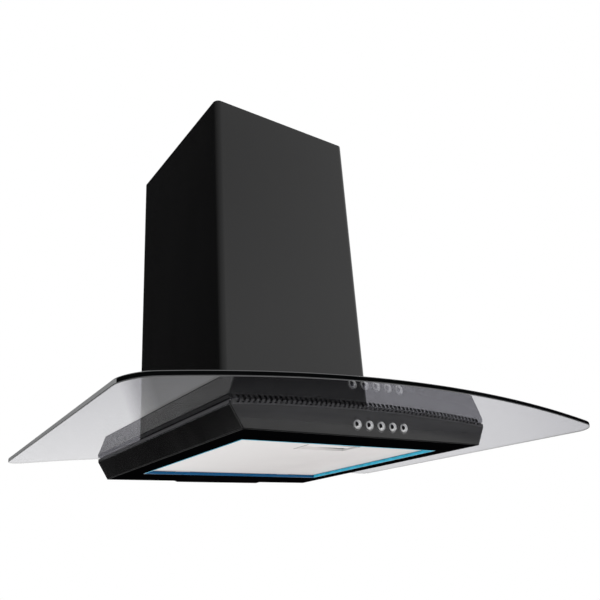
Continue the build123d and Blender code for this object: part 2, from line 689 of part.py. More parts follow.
# ---------------------------------------------------------------- blower casing and wall bracket
def casing_block(inset, z0, z1):
    """A box over the casing's plan, drawn in by `inset`."""
    half = CASING_WIDTH / 2 - inset
    return block(-half, half, CASING_FRONT_Y + inset, CASING_REAR_Y - inset, z0, z1)


def blower_casing():
    """Folded steel casing around the blower, open below, with a foot flange on the body's deck."""
    deck = -GASKET_THICKNESS + SEAT_GAP
    walls = casing_block(0, 0, CASING_TOP) - casing_block(CASING_SHEET, -1, CASING_TOP - CASING_SHEET)
    foot = casing_block(0, 0, CASING_TOP) - casing_block(CASING_FLANGE, -1, CASING_TOP + 1)
    casing = walls - bend_cylinder(deck) + (foot & bend_band(deck, deck + CASING_FOOT_SHEET))
    casing -= hole((0, SPIGOT_Y, CASING_TOP), (0, 0, 1), 2 * CASING_SHEET, SPIGOT_BORE - FLAP_SEAT)
    return casing - hole((*gland_place(), CASING_TOP), (0, 0, 1), 2 * CASING_SHEET, gland_neck() + SEAT_GAP)


def gland_place():
    """Plan place of the mains gland on top of the casing."""
    return CASING_WIDTH / 2 - GLAND_SIDE_INSET, CASING_REAR_Y - GLAND_REAR_INSET


def gland_neck():
    """Radius of the gland's threaded part."""
    return (GLAND_RADIUS + GLAND_BORE_RADIUS) / 2


def wall_hole_places():
    """x and z of the four holes for the wall screws."""
    x = WALL_HOLE_SPACING_X / 2
    z = WALL_HOLE_SPACING_Z / 2
    return [(sx * x, HANG_HEIGHT + sz * z) for sx in (-1, 1) for sz in (-1, 1)]


def wall_bracket():
    """Hat-section steel bracket: its base is screwed to the wall and its feet carry the casing."""
    half = BRACKET_HALF_WIDTH
    sheet = BRACKET_SHEET
    gap = BODY_WALL_GAP
    low = HANG_HEIGHT - BRACKET_HEIGHT / 2
    high = low + BRACKET_HEIGHT
    bracket = block(-half, half, -sheet, 0, low, high)
    for side in (-1, 1):
        bracket += block(side * half, side * (half - sheet), -gap, 0, low, high)
        bracket += block(side * (half - sheet), side * (half + BRACKET_FOOT), -gap, -gap + sheet, low, high)
    return bracket - [hole((x, 0, z), (0, 1, 0), 2 * sheet, WALL_HOLE_RADIUS) for x, z in wall_hole_places()]


# ---------------------------------------------------------------- blower
def scroll_profile(grow):
    """The scroll's side outline in y and z, grown outward by `grow`: three growing quarter turns."""
    r1 = SCROLL_RADIUS + grow
    r2 = r1 + SCROLL_STEP
    r3 = r2 + SCROLL_STEP
    s = SCROLL_STEP
    top = CASING_TOP - CASING_SHEET - FAN_Z
    edges = [
        CenterArc((0, 0), r1, 90, -90),
        CenterArc((-s, 0), r2, 0, -90),
        CenterArc((-s, s), r3, -90, -90),
        Line((-s - r3, s), (-s - r3, top)),
        Line((-s - r3, top), (grow, top)),
        Line((grow, top), (grow, sqrt(r1**2 - grow**2))),
    ]
    if grow:
        edges[0] = ThreePointArc(
            (grow, sqrt(r1**2 - grow**2)), (r1 * sin(radians(45)), r1 * cos(radians(45))), (r1, 0)
        )
    return Pos(FAN_Y, FAN_Z) * make_face(edges)


def scroll_half():
    """One half of the blower scroll, on the side of positive x, with its flared inlet."""
    half = SCROLL_HALF_WIDTH
    shell = extrude(Plane.YZ * scroll_profile(SCROLL_WALL), amount=half)
    shell -= extrude(Plane.YZ * scroll_profile(0), amount=half - SCROLL_WALL)
    top = CASING_TOP - CASING_SHEET
    rim = extrude(Plane.YZ * scroll_profile(SCROLL_SKIN), amount=SCROLL_WALL)
    rim -= extrude(Plane.YZ * scroll_profile(SCROLL_WALL), amount=SCROLL_WALL)
    shell += rim - block(0, half, CASING_FRONT_Y, CASING_REAR_Y, top - SCROLL_NECK, top)
    start = half - SCROLL_WALL - SCROLL_END_GAP / 2
    mouth = tube(INLET_RADIUS + SCROLL_WALL, INLET_RADIUS, (start, FAN_Y, FAN_Z), (half, FAN_Y, FAN_Z))
    return shell - rod(INLET_RADIUS, (start, FAN_Y, FAN_Z), (2 * half, FAN_Y, FAN_Z)) + mouth


def fan_impeller():
    """Double-inlet squirrel-cage wheel: forward-curved blades, two end rings, hub plate and boss."""
    half = FAN_WIDTH / 2
    inner = FAN_RADIUS - FAN_RING
    centre = Pos(0, FAN_Y, FAN_Z)
    tip = (0, FAN_RADIUS - 0.3)
    root = (BLADE_SHEET * 4.5, inner + 0.3)
    bulge = (BLADE_SHEET * 1.2, (tip[1] + root[1]) / 2 + 0.6)
    near = ThreePointArc(tip, bulge, root)
    far = Pos(BLADE_SHEET, 0) * ThreePointArc(root, bulge, tip)
    blade_line = [near, Line(near @ 1, far @ 0), far, Line(far @ 1, near @ 0)]
    blade = extrude(Plane.YZ * make_face(blade_line), amount=half, both=True)
    step = 360 / BLADE_COUNT
    blades = [Rot(i * step, 0, 0) * blade for i in range(BLADE_COUNT)]
    ends = [(-half, -half + FAN_SHEET), (half - FAN_SHEET, half)]
    wheel = tube(FAN_RADIUS, inner, (ends[0][0], 0, 0), (ends[0][1], 0, 0))
    wheel += tube(FAN_RADIUS, inner, (ends[1][0], 0, 0), (ends[1][1], 0, 0))
    plate = rod(FAN_RADIUS - 0.3, (HUB_FACE_X - FAN_SHEET, 0, 0), (HUB_FACE_X, 0, 0))
    boss = rod(HUB_RADIUS, (HUB_FACE_X - 14, 0, 0), (HUB_FACE_X, 0, 0))
    bore = rod(SHAFT_RADIUS + SEAT_GAP / 2, (-half, 0, 0), (half, 0, 0))
    wheel = wheel + plate + boss - bore
    return centre * wheel.fuse(*blades)


def motor_shaft():
    """Steel shaft that carries the fan and turns in the motor's bearings."""
    start = HUB_FACE_X - 17
    end = MOTOR_START_X + MOTOR_LENGTH - 6
    return rod(SHAFT_RADIUS, (start, FAN_Y, FAN_Z), (end, FAN_Y, FAN_Z))


def motor():
    """Motor with stepped end shields, half inside the fan."""
    x0 = MOTOR_START_X
    x1 = x0 + MOTOR_LENGTH
    profile = Polyline(
        (x0, 0),
        (x0, 11),
        (x0 + 4, 11),
        (x0 + 8, MOTOR_RADIUS - MOTOR_STEP),
        (x0 + 12, MOTOR_RADIUS - MOTOR_STEP),
        (x0 + 12, MOTOR_RADIUS),
        (x1 - 12, MOTOR_RADIUS),
        (x1 - 12, MOTOR_RADIUS - MOTOR_STEP),
        (x1 - 4, MOTOR_RADIUS - MOTOR_STEP),
        (x1, 14),
        (x1, 0),
        close=True,
    )
    body = revolve(make_face(profile), Axis.X)
    body -= rod(SHAFT_RADIUS + RUNNING_GAP, (x0 - 1, 0, 0), (x1 - 5, 0, 0))
    return Pos(0, FAN_Y, FAN_Z) * body


def motor_bracket():
    """Three-armed ring that clamps the motor and stands on the scroll around its inlet."""
    x0 = SCROLL_HALF_WIDTH
    sheet = MOTOR_BRACKET_SHEET
    inner = MOTOR_RADIUS - MOTOR_STEP + SEAT_GAP
    spider = tube(inner + 3 * sheet, inner, (x0, 0, 0), (x0 + sheet, 0, 0))
    arm = block(x0, x0 + sheet, -MOTOR_ARM_WIDTH / 2, MOTOR_ARM_WIDTH / 2, inner + sheet, SCROLL_RADIUS)
    return Pos(0, FAN_Y, FAN_Z) * (spider + [Rot(angle, 0, 0) * arm for angle in (0, 120, 240)])


# ---------------------------------------------------------------- electrics
def capacitor_place():
    """Plan place of the capacitor's axis, in the casing's front corner."""
    reach = CASING_SHEET + CAPACITOR_GAP + CAPACITOR_RADIUS
    return -CASING_WIDTH / 2 + reach, CASING_FRONT_Y + reach


def capacitor():
    """Motor run capacitor standing in the casing's front corner."""
    x, y = capacitor_place()
    low = (CASING_TOP - CAPACITOR_HEIGHT) / 2
    return rod(CAPACITOR_RADIUS, (x, y, low), (x, y, low + CAPACITOR_HEIGHT))


def capacitor_strap():
    """Band that holds the capacitor to the casing's side wall."""
    x, y = capacitor_place()
    wall = x - CAPACITOR_RADIUS - CAPACITOR_GAP
    low = (CASING_TOP - STRAP_HEIGHT) / 2
    high = low + STRAP_HEIGHT
    inner = CAPACITOR_RADIUS + SEAT_GAP
    outer = inner + STRAP_SHEET
    rear = y + 2 * CAPACITOR_RADIUS
    band = tube(outer, inner, (x, y, low), (x, y, high))
    bridge = block(wall, x, y + inner, y + outer, low, high)
    return band + bridge + block(wall, wall + STRAP_SHEET, y + inner, rear, low, high)


def junction_block(inset, z0, z1):
    """A box over the terminal box's plan, drawn in by `inset`."""
    wall = CASING_WIDTH / 2 - CASING_SHEET
    front = CASING_FRONT_Y + JUNCTION_INSET
    rear = front + JUNCTION_DEPTH
    return block(wall - JUNCTION_WIDTH + inset, wall - inset, front + inset, rear - inset, z0, z1)


def junction_levels():
    """Lower and upper z of the terminal box."""
    high = CASING_TOP - JUNCTION_INSET / 2
    return high - JUNCTION_HEIGHT, high


def junction_box():
    """Terminal box on the casing's side wall, with its lid."""
    low, high = junction_levels()
    return junction_block(0, low, high) - junction_block(JUNCTION_WALL, low + JUNCTION_WALL, high + 1)


def junction_box_lid():
    """Lid that closes the terminal box above."""
    high = junction_levels()[1]
    plug = junction_block(JUNCTION_WALL + MOVING_GAP, high - JUNCTION_WALL, high)
    return junction_block(0, high, high + JUNCTION_WALL) + plug


def cable_gland():
    """Mains inlet gland on top of the casing."""
    x, y = gland_place()
    base = rod(GLAND_RADIUS, (x, y, CASING_TOP), (x, y, CASING_TOP + 4))
    nut = Pos(x, y, CASING_TOP + 4) * extrude(RegularPolygon(GLAND_RADIUS - 1, 6), amount=7)
    neck = rod(gland_neck(), (x, y, CASING_TOP + 11), (x, y, CASING_TOP + 16))
    tail = rod(gland_neck(), (x, y, CASING_TOP - 8), (x, y, CASING_TOP))
    return base + nut + neck + tail - hole((x, y, CASING_TOP), (0, 0, 1), 30, GLAND_BORE_RADIUS)


# ---------------------------------------------------------------- duct outlet
def outlet_flange():
    """Flat ring on top of the casing that carries the collar and stops the flaps."""
    base = (0, SPIGOT_Y, CASING_TOP)
    top = (0, SPIGOT_Y, FLAP_SEAT_TOP)
    return tube(SPIGOT_RADIUS + SPIGOT_FLANGE, SPIGOT_BORE - FLAP_SEAT, base, top)


def duct_spigot():
    """Round outlet collar, pierced for the flaps' pins."""
    top = FLAP_SEAT_TOP + SPIGOT_HEIGHT
    spigot = tube(SPIGOT_RADIUS, SPIGOT_BORE, (0, SPIGOT_Y, FLAP_SEAT_TOP), (0, SPIGOT_Y, top))
    pin = (FLAP_AXIS_X, SPIGOT_Y, FLAP_AXIS_Z)
    pin_hole = hole(pin, (0, 1, 0), 2 * SPIGOT_RADIUS, FLAP_PIN_RADIUS + SEAT_GAP)
    return spigot - pin_hole - mirrored(pin_hole)


def flap_left():
    """Half-round back-draught flap with its knuckle, on the side of negative x."""
    low = FLAP_SEAT_TOP + MOVING_GAP
    plate = rod(FLAP_RADIUS, (0, 0, low), (0, 0, low + FLAP_SHEET))
    reach = FLAP_RADIUS + 1
    plate &= block(-reach, -FLAP_AXIS_X, -reach, reach, 0, 2 * CASING_TOP)
    end = KNUCKLE_LENGTH / 2
    knuckle = rod(KNUCKLE_RADIUS, (-FLAP_AXIS_X, -end, FLAP_AXIS_Z), (-FLAP_AXIS_X, end, FLAP_AXIS_Z))
    bore = FLAP_PIN_RADIUS + RUNNING_GAP
    flap = plate + knuckle - hole((-FLAP_AXIS_X, 0, FLAP_AXIS_Z), (0, 1, 0), reach, bore)
    return Pos(0, SPIGOT_Y, 0) * flap


def flap_pins():
    """Wires that the flaps turn on, held in the collar's wall."""
    end = sqrt(SPIGOT_RADIUS**2 - FLAP_AXIS_X**2) - SPIGOT_WALL / 4
    x = FLAP_AXIS_X
    pin = rod(FLAP_PIN_RADIUS, (x, SPIGOT_Y - end, FLAP_AXIS_Z), (x, SPIGOT_Y + end, FLAP_AXIS_Z))
    return group([pin, mirrored(pin)])


# ---------------------------------------------------------------- chimney
def chimney_section(gap):
    """Plan of a chimney cover drawn in by `gap`: a bent front with two sides and rear returns."""
    half = CHIMNEY_WIDTH / 2 - gap
    front = -CHIMNEY_FRONT + gap
    rear = -CHIMNEY_WALL_GAP - gap
    sheet = CHIMNEY_SHEET
    bend = CHIMNEY_BEND_RADIUS - gap
    outer = chimney_outline(half, front, rear, bend)
    inner = chimney_outline(half - sheet, front + sheet, rear - sheet, bend - sheet)
    mouth = Pos(0, rear) * Rectangle(2 * (CHIMNEY_WIDTH / 2 - CHIMNEY_RETURN), 4 * sheet)
    return outer - inner - mouth


def chimney_outline(half, front, rear, bend):
    """A rectangle with its two front corners rounded."""
    plan = Pos(0, (front + rear) / 2) * Rectangle(2 * half, rear - front)
    return fillet(plan.vertices().group_by(Axis.Y)[0], bend)


def lower_chimney():
    """Fixed chimney cover that stands on the glass around the blower casing."""
    cover = extrude(chimney_section(0), amount=CHIMNEY_TOP)
    return cover - bend_cylinder(GLASS_THICKNESS + MOVING_GAP)


def upper_gap():
    """How far the upper chimney's outside is drawn in from the lower one's."""
    return CHIMNEY_SHEET + CHIMNEY_SLIDE_GAP


def upper_chimney():
    """Telescoping chimney cover with vent slots near its top, pushed down inside the lower one."""
    top = CHIMNEY_TOP - UPPER_CHIMNEY_INSET
    length = top - GLASS_CREST - GLASS_THICKNESS - UPPER_CHIMNEY_FLOOR
    cover = extrude(Pos(0, 0, top) * chimney_section(upper_gap()), amount=-length)
    y = -CHIMNEY_FRONT / 2
    slots = []
    for i in range(VENT_COUNT):
        z = top - VENT_TOP_GAP - i * VENT_PITCH
        span = CHIMNEY_WIDTH
        slots.append(block(-span, span, y - VENT_LENGTH / 2, y + VENT_LENGTH / 2, z - VENT_HEIGHT, z))
    return cover - slots


def chimney_lugs():
    """Two angles on the casing's sides that carry the lower chimney's returns."""
    sheet = CHIMNEY_LUG_SHEET
    back = -CHIMNEY_WALL_GAP - CHIMNEY_SHEET
    half = CASING_WIDTH / 2
    low = GLASS_CREST + GLASS_THICKNESS + CHIMNEY_LUG_LIFT
    high = low + CHIMNEY_LUG_HEIGHT
    leg = block(half, half + sheet, CASING_REAR_Y - CHIMNEY_LUG_LENGTH, back, low, high)
    face = block(half, CHIMNEY_WIDTH / 2 - CHIMNEY_SHEET - MOVING_GAP, back - sheet, back, low, high)
    return group([leg + face, mirrored(leg + face)])


def top_bracket():
    """Wall bracket at the upper chimney's top: a stepped strap with a leg inside each side."""
    sheet = TOP_BRACKET_SHEET
    half = TOP_BRACKET_HALF_WIDTH
    inside = CHIMNEY_WIDTH / 2 - upper_gap() - CHIMNEY_SHEET
    step_y = -CHIMNEY_WALL_GAP - upper_gap() - CHIMNEY_SHEET - MOVING_GAP
    high = CHIMNEY_TOP - UPPER_CHIMNEY_INSET - TOP_BRACKET_DROP
    low = high - TOP_BRACKET_HEIGHT
    strap = block(-half, half, -sheet, 0, low, high)
    for side in (-1, 1):
        strap += block(side * half, side * (half - sheet), step_y - sheet, 0, low, high)
        strap += block(side * (half - sheet), side * inside, step_y - sheet, step_y, low, high)
        strap += block(side * inside, side * (inside - sheet), step_y - TOP_BRACKET_LEG, step_y, low, high)
    x = TOP_BRACKET_HOLE_SPACING / 2
    z = (low + high) / 2
    return strap - [hole((side * x, 0, z), (0, 1, 0), 2 * sheet, WALL_HOLE_RADIUS) for side in (-1, 1)]


# ---------------------------------------------------------------- the hood
def hood():
    """Every piece of the hood by its node's name."""
    scroll_right = scroll_half()
    left_flap = flap_left()
    nodes = {
        "canopy_shell": canopy_shell(),
        "front_vent_strip": front_vent_strip(),
        "glass_gasket": glass_gasket(),
        "corner_brackets": corner_brackets(),
        "underside_panel": underside_panel(),
        "opening_film": opening_film(),
        "glass_canopy": glass_canopy(),
        "glass_screws": glass_screws(),
        "filter_frame": filter_frame(),
        "filter_face": filter_face(),
        "filter_back": filter_back(),
        "filter_core": filter_core(),
        "latch_pocket": latch_pocket(),
        "latch_slider": latch_slider(),
        "button_bezels": button_bezels(),
        "switch_bank": switch_bank(),
        "switch_terminals": switch_terminals(),
        "switch_bracket": switch_bracket(),
        "lamp_lens": lamp_lens(),
        "lamp_housing": lamp_housing(),
        "lamp_board": lamp_board(),
        "lamp_leds": lamp_leds(),
        "blower_casing": blower_casing(),
        "wall_bracket": wall_bracket(),
        "scroll_right": scroll_right,
        "scroll_left": mirrored(scroll_right),
        "fan_impeller": fan_impeller(),
        "motor_shaft": motor_shaft(),
        "motor": motor(),
        "motor_bracket": motor_bracket(),
        "capacitor": capacitor(),
        "capacitor_strap": capacitor_strap(),
        "junction_box": junction_box(),
        "junction_box_lid": junction_box_lid(),
        "cable_gland": cable_gland(),
        "outlet_flange": outlet_flange(),
        "duct_spigot": duct_spigot(),
        "flap_left": left_flap,
        "flap_right": mirrored(left_flap),
        "flap_pins": flap_pins(),
        "lower_chimney": lower_chimney(),
        "chimney_lugs": chimney_lugs(),
        "upper_chimney": upper_chimney(),
        "top_bracket": top_bracket(),
    }
    for name, x in zip(BUTTON_NAMES, button_places()):
        nodes["button_" + name] = button(x)
    return nodes


if __name__ == "__main__":
    os.makedirs("parts", exist_ok=True)
    for node, shape in hood().items():
        export_step(Pos(0, 0, -HANG_HEIGHT) * shape, "parts/" + node + ".step")
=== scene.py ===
"""Looks of a curved-glass chimney hood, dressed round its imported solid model.

Each sub-assembly of the hood is a class that makes its own meshes and finishes. Lengths are in metres, in the
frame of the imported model: +Z up, the wall at y = 0 and the front of the hood towards -Y.
"""

import json
import logging
import math
from collections.abc import Iterable, Sequence
from dataclasses import dataclass
from enum import Enum, IntEnum

import bmesh
import bpy
from mathutils import Matrix, Vector

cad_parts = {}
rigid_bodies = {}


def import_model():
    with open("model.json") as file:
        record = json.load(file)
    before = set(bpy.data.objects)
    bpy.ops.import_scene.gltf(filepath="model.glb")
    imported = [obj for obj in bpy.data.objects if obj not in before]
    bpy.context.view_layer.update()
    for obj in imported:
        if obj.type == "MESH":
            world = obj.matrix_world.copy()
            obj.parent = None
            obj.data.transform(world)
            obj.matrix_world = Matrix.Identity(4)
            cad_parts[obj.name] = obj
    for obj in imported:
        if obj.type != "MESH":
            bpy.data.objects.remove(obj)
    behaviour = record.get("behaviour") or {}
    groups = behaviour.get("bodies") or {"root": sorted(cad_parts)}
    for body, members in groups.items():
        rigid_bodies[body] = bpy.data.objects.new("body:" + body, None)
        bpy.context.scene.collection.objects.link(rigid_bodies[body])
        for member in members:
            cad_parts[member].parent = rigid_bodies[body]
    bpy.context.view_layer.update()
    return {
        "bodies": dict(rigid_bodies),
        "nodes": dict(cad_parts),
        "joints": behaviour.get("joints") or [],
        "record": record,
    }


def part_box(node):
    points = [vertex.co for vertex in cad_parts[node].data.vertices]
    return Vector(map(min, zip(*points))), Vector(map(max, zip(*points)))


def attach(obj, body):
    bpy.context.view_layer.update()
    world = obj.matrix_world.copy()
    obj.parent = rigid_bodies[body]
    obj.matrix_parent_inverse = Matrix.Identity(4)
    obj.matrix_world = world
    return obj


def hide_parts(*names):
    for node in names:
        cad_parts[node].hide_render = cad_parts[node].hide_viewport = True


log = logging.getLogger("hood")
Colour = tuple[float, float, float]
Point = tuple[float, float, float]
Span = tuple[float, float]
Ring = tuple[Span, ...]
Node = bpy.types.Node
Socket = bpy.types.NodeSocket
Sockets = bpy.types.bpy_prop_collection
Material = bpy.types.Material
Mesh = bmesh.types.BMesh

NOISE_SPAN: Span = (0.3, 0.7)
WORN_SPAN: Span = (0.72, 0.98)
RIDGES_PER_METRE = math.pi / 10
AHEAD_SPAN: Span = (-0.97, -0.9)
SIDEWAYS_SPAN: Span = (0.9, 0.97)
METAL_WEAR = 0.0006


class Body(Enum):
    """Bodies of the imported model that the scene's own pieces ride on."""

    CANOPY = "canopy"
    BUTTON_OFF = "button_off"
    BUTTON_LOW = "button_low"
    BUTTON_MEDIUM = "button_medium"
    BUTTON_HIGH = "button_high"
    BUTTON_LAMP = "button_lamp"


class Slot(Enum):
    """Material slots of the record."""

    ENAMEL = "black_enamel"
    GLASS = "smoked_glass"
    FILTER_SILVER = "filter_silver"
    MESH = "aluminium_mesh"
    FILM = "film_blue"
    CHROME = "chrome"
    ZINC = "zinc_steel"
    BLACK_PLASTIC = "black_plastic"
    SMOKED_PLASTIC = "smoked_plastic"
    GREY_PLASTIC = "grey_plastic"
    BOARD = "white_board"
    RUBBER = "black_rubber"
    MOTOR = "motor_alloy"


class Axis(Enum):
    """Directions of the frame's axes."""

    X = (1.0, 0.0, 0.0)
    Y = (0.0, 1.0, 0.0)
    Z = (0.0, 0.0, 1.0)


class GlassFace(IntEnum):
    """Kinds of face on the glass sheet, in the order of its finishes."""

    SHEET = 0
    FRONT_EDGE = 1
    SIDE_EDGE = 2
    ARRIS = 3


# ---------------------------------------------------------------- material bench
class Bench:
    """Lays out and joins the nodes of one material, or of the world."""

    def __init__(self, owner: Material | bpy.types.World) -> None:
        """Empties the owner's tree but for an output.

        Args:
            owner: The material or the world.
        """
        self.owner = owner
        self.shader: Node | None = None
        owner.use_nodes = True
        self.tree = owner.node_tree
        self.tree.nodes.clear()
        kind = "World" if isinstance(owner, bpy.types.World) else "Material"
        self.output = self.add(f"ShaderNodeOutput{kind}")

    def add(self, kind: str, **settings: object) -> Node:
        """Adds a node.

        Args:
            kind: The node's type name.
            **settings: Properties to set on it.

        Returns:
            The node.
        """
        node = self.tree.nodes.new(kind)
        for key, value in settings.items():
            setattr(node, key, value)
        return node

    def join(self, source: Socket, target: Socket) -> None:
        """Joins an output to an input, in place of what was joined there."""
        self.tree.links.new(source, target)

    def surface(self, shader: Node) -> Material | bpy.types.World:
        """Makes the shader the owner's surface and returns the owner."""
        self.join(shader.outputs[0], self.output.inputs["Surface"])
        return self.owner

    def place(self, scale: Point = (1.0, 1.0, 1.0), turn: Point = (0.0, 0.0, 0.0)) -> Socket:
        """Position on the piece in metres, stretched and turned.

        Args:
            scale: Factor on each axis.
            turn: Rotation in radians.

        Returns:
            The position socket.
        """
        coordinates = self.add("ShaderNodeTexCoord")
        mapping = self.add("ShaderNodeMapping")
        mapping.inputs["Scale"].default_value = scale
        mapping.inputs["Rotation"].default_value = turn
        self.join(coordinates.outputs["Object"], mapping.inputs["Vector"])
        return mapping.outputs["Vector"]

    def axes(self, vector: Socket) -> Sockets:
        """Parts a vector.

        Args:
            vector: The vector's socket.

        Returns:
            Its X, Y and Z outputs.
        """
        split = self.add("ShaderNodeSeparateXYZ")
        self.join(vector, split.inputs["Vector"])
        return split.outputs

    def noise(self, where: Socket, scale: float, detail: float) -> Socket:
        """Soft cloud noise.

        Args:
            where: Position socket.
            scale: Features per metre.
            detail: Octaves.

        Returns:
            A value socket that keeps near `NOISE_SPAN`.
        """
        node = self.add("ShaderNodeTexNoise")
        node.inputs["Scale"].default_value = scale
        node.inputs["Detail"].default_value = detail
        node.inputs["Roughness"].default_value = 0.55
        self.join(where, node.inputs["Vector"])
        return node.outputs["Fac"]

    def cells(self, where: Socket, scale: float) -> Node:
        """Cell pattern.

        Args:
            where: Position socket.
            scale: Cells per metre.

        Returns:
            The cell node.
        """
        node = self.add("ShaderNodeTexVoronoi", feature="F1")
        node.inputs["Scale"].default_value = scale
        self.join(where, node.inputs["Vector"])
        return node

    def wave(self, where: Socket, pitch: float) -> Socket:
        """Even ridges across X.

        Args:
            where: Position socket.
            pitch: Distance between ridges in metres.

        Returns:
            A value socket from 0 to 1.
        """
        node = self.add("ShaderNodeTexWave", bands_direction="X", wave_profile="SIN")
        node.inputs["Scale"].default_value = RIDGES_PER_METRE / pitch
        self.join(where, node.inputs["Vector"])
        return node.outputs["Fac"]

    def sums(self, operation: str, a: object, b: object) -> Socket:
        """Arithmetic on two values, each a socket or a number.

        Args:
            operation: The sum's name.
            a: First value.
            b: Second value.

        Returns:
            The result's socket.
        """
        node = self.add("ShaderNodeMath", operation=operation)
        for value, socket in zip((a, b), node.inputs):
            if isinstance(value, Socket):
                self.join(value, socket)
            else:
                socket.default_value = value
        return node.outputs[0]

    def spread(self, value: Socket, source: Span, target: Span = (0.0, 1.0), soft: bool = False) -> Socket:
        """Carries one range of values to another, clamped.

        Args:
            value: The value socket.
            source: Lowest and highest value in.
            target: Lowest and highest value out.
            soft: Eases both ends.

        Returns:
            The value socket.
        """
        node = self.add("ShaderNodeMapRange", interpolation_type="SMOOTHSTEP" if soft else "LINEAR")
        for name, number in zip(("From Min", "From Max", "To Min", "To Max"), (*source, *target)):
            node.inputs[name].default_value = number
        self.join(value, node.inputs["Value"])
        return node.outputs["Result"]

    def share(self, noise: Socket) -> Socket:
        """Noise stretched to run from 0 to 1."""
        return self.spread(noise, NOISE_SPAN)

    def tint(self, share: Socket, low: object, high: object) -> Socket:
        """Mixes two colours, each a socket or three numbers.

        Args:
            share: How much of the second colour shows.
            low: First colour.
            high: Second colour.

        Returns:
            The colour socket.
        """
        node = self.add("ShaderNodeMix", data_type="RGBA")
        for colour, socket in ((low, node.inputs[6]), (high, node.inputs[7])):
            if isinstance(colour, Socket):
                self.join(colour, socket)
            else:
                socket.default_value = (*colour, 1.0)
        self.join(share, node.inputs[0])
        return node.outputs[2]

    def relief(self, height: Socket, depth: float) -> None:
        """Gives the surface a relief.

        Args:
            height: Height socket from 0 to 1.
            depth: Real depth in metres.
        """
        node = self.add("ShaderNodeBump")
        node.inputs["Strength"].default_value = 1.0
        node.inputs["Distance"].default_value = depth
        self.join(height, node.inputs["Height"])
        self.join(node.outputs["Normal"], self.shader.inputs["Normal"])

    def paint(self, colour: Socket) -> None:
        """Gives the surface a colour."""
        self.join(colour, self.shader.inputs["Base Color"])

    def dull(self, roughness: Socket) -> None:
        """Makes the surface at least as rough as a value."""
        rough = self.shader.inputs["Roughness"]
        self.join(self.sums("MAXIMUM", rough.links[0].from_socket, roughness), rough)

    def edges(self, reach: float) -> Socket:
        """Where an outer edge is within reach, from 0 on the flat to 1 on the edge.

        Args:
            reach: How far from an edge the mask reaches, in metres.

        Returns:
            The value socket.
        """
        rounded = self.add("ShaderNodeBevel", samples=4)
        rounded.inputs["Radius"].default_value = reach
        geometry = self.add("ShaderNodeNewGeometry")
        dot = self.add("ShaderNodeVectorMath", operation="DOT_PRODUCT")
        self.join(rounded.outputs["Normal"], dot.inputs[0])
        self.join(geometry.outputs["Normal"], dot.inputs[1])
        return self.spread(dot.outputs["Value"], WORN_SPAN, (1.0, 0.0), soft=True)

    def true_normal(self) -> Sockets:
        """The X, Y and Z outputs of the face's own normal."""
        return self.axes(self.add("ShaderNodeNewGeometry").outputs["True Normal"])

    def within(self, value: Socket, span: Span, ease: Span) -> Socket:
        """Where a value lies in a span.

        Args:
            value: The value socket.
            span: Lowest and highest value.
            ease: How far each soft end reaches outwards and inwards of the span.

        Returns:
            A value socket, 1 inside.
        """
        outwards, inwards = ease
        above = self.spread(value, (span[0] - outwards, span[0] + inwards))
        below = self.spread(value, (span[1] - inwards, span[1] + outwards), (1.0, 0.0))
        return self.sums("MULTIPLY", above, below)

    def principled(self, finish: "Finish") -> None:
        """Adds the surface shader and sets the finish's even values on it.

        Args:
            finish: The finish.
        """
        self.shader = self.add("ShaderNodeBsdfPrincipled")
        values = {
            "Base Color": (*finish.colour, 1.0), "Roughness": finish.roughness, "Metallic": finish.metallic,
            "Specular IOR Level": finish.specular, "IOR": finish.ior,
        }
        for name, value in values.items():
            self.shader.inputs[name].default_value = value


# ---------------------------------------------------------------- finishes
@dataclass(frozen=True)
class Finish:
    """A finish: even values and the patterns that `lay` joins to them, here plain grain."""

    name: str
    colour: Colour
    roughness: float = 0.4
    metallic: float = 0.0
    specular: float = 0.5
    ior: float = 1.5
    roughness_spread: float = 0.05
    grain_size: float = 0.001
    grain_depth: float = 0.00001

    def material(self) -> Material:
        """Builds the finish's material: its even values, and what `lay` adds to them.

        Returns:
            The material.
        """
        bench = Bench(bpy.data.materials.new(self.name))
        bench.principled(self)
        self.lay(bench)
        return bench.surface(bench.shader)

    def lay(self, bench: Bench) -> None:
        """Lays grain in the relief and a slow change of gloss and tone.

        Args:
            bench: The material's bench.
        """
        place = bench.place()
        slow = bench.noise(place, scale=14.0, detail=4.0)
        self.gloss(bench, slow)
        light = tuple(min(1.0, c * 1.12 + 0.002) for c in self.colour)
        bench.paint(bench.tint(bench.share(slow), self.colour, light))
        self.grain(bench, place)

    def grain(self, bench: Bench, place: Socket, detail: float = 2.0) -> None:
        """Lays the finish's grain in the relief."""
        bench.relief(bench.noise(place, scale=1.0 / self.grain_size, detail=detail), self.grain_depth)

    def gloss(self, bench: Bench, pattern: Socket) -> None:
        """Lets the roughness follow a pattern.

        Args:
            bench: The material's bench.
            pattern: Noise socket.
        """
        low, high = self.roughness - self.roughness_spread, self.roughness + self.roughness_spread
        shine = bench.spread(pattern, NOISE_SPAN, (max(0.0, low), min(1.0, high)))
        bench.join(shine, bench.shader.inputs["Roughness"])

    def toned(self, share: float) -> Colour:
        """The finish's colour times a share, up to white."""
        return tuple(min(1.0, c * share) for c in self.colour)


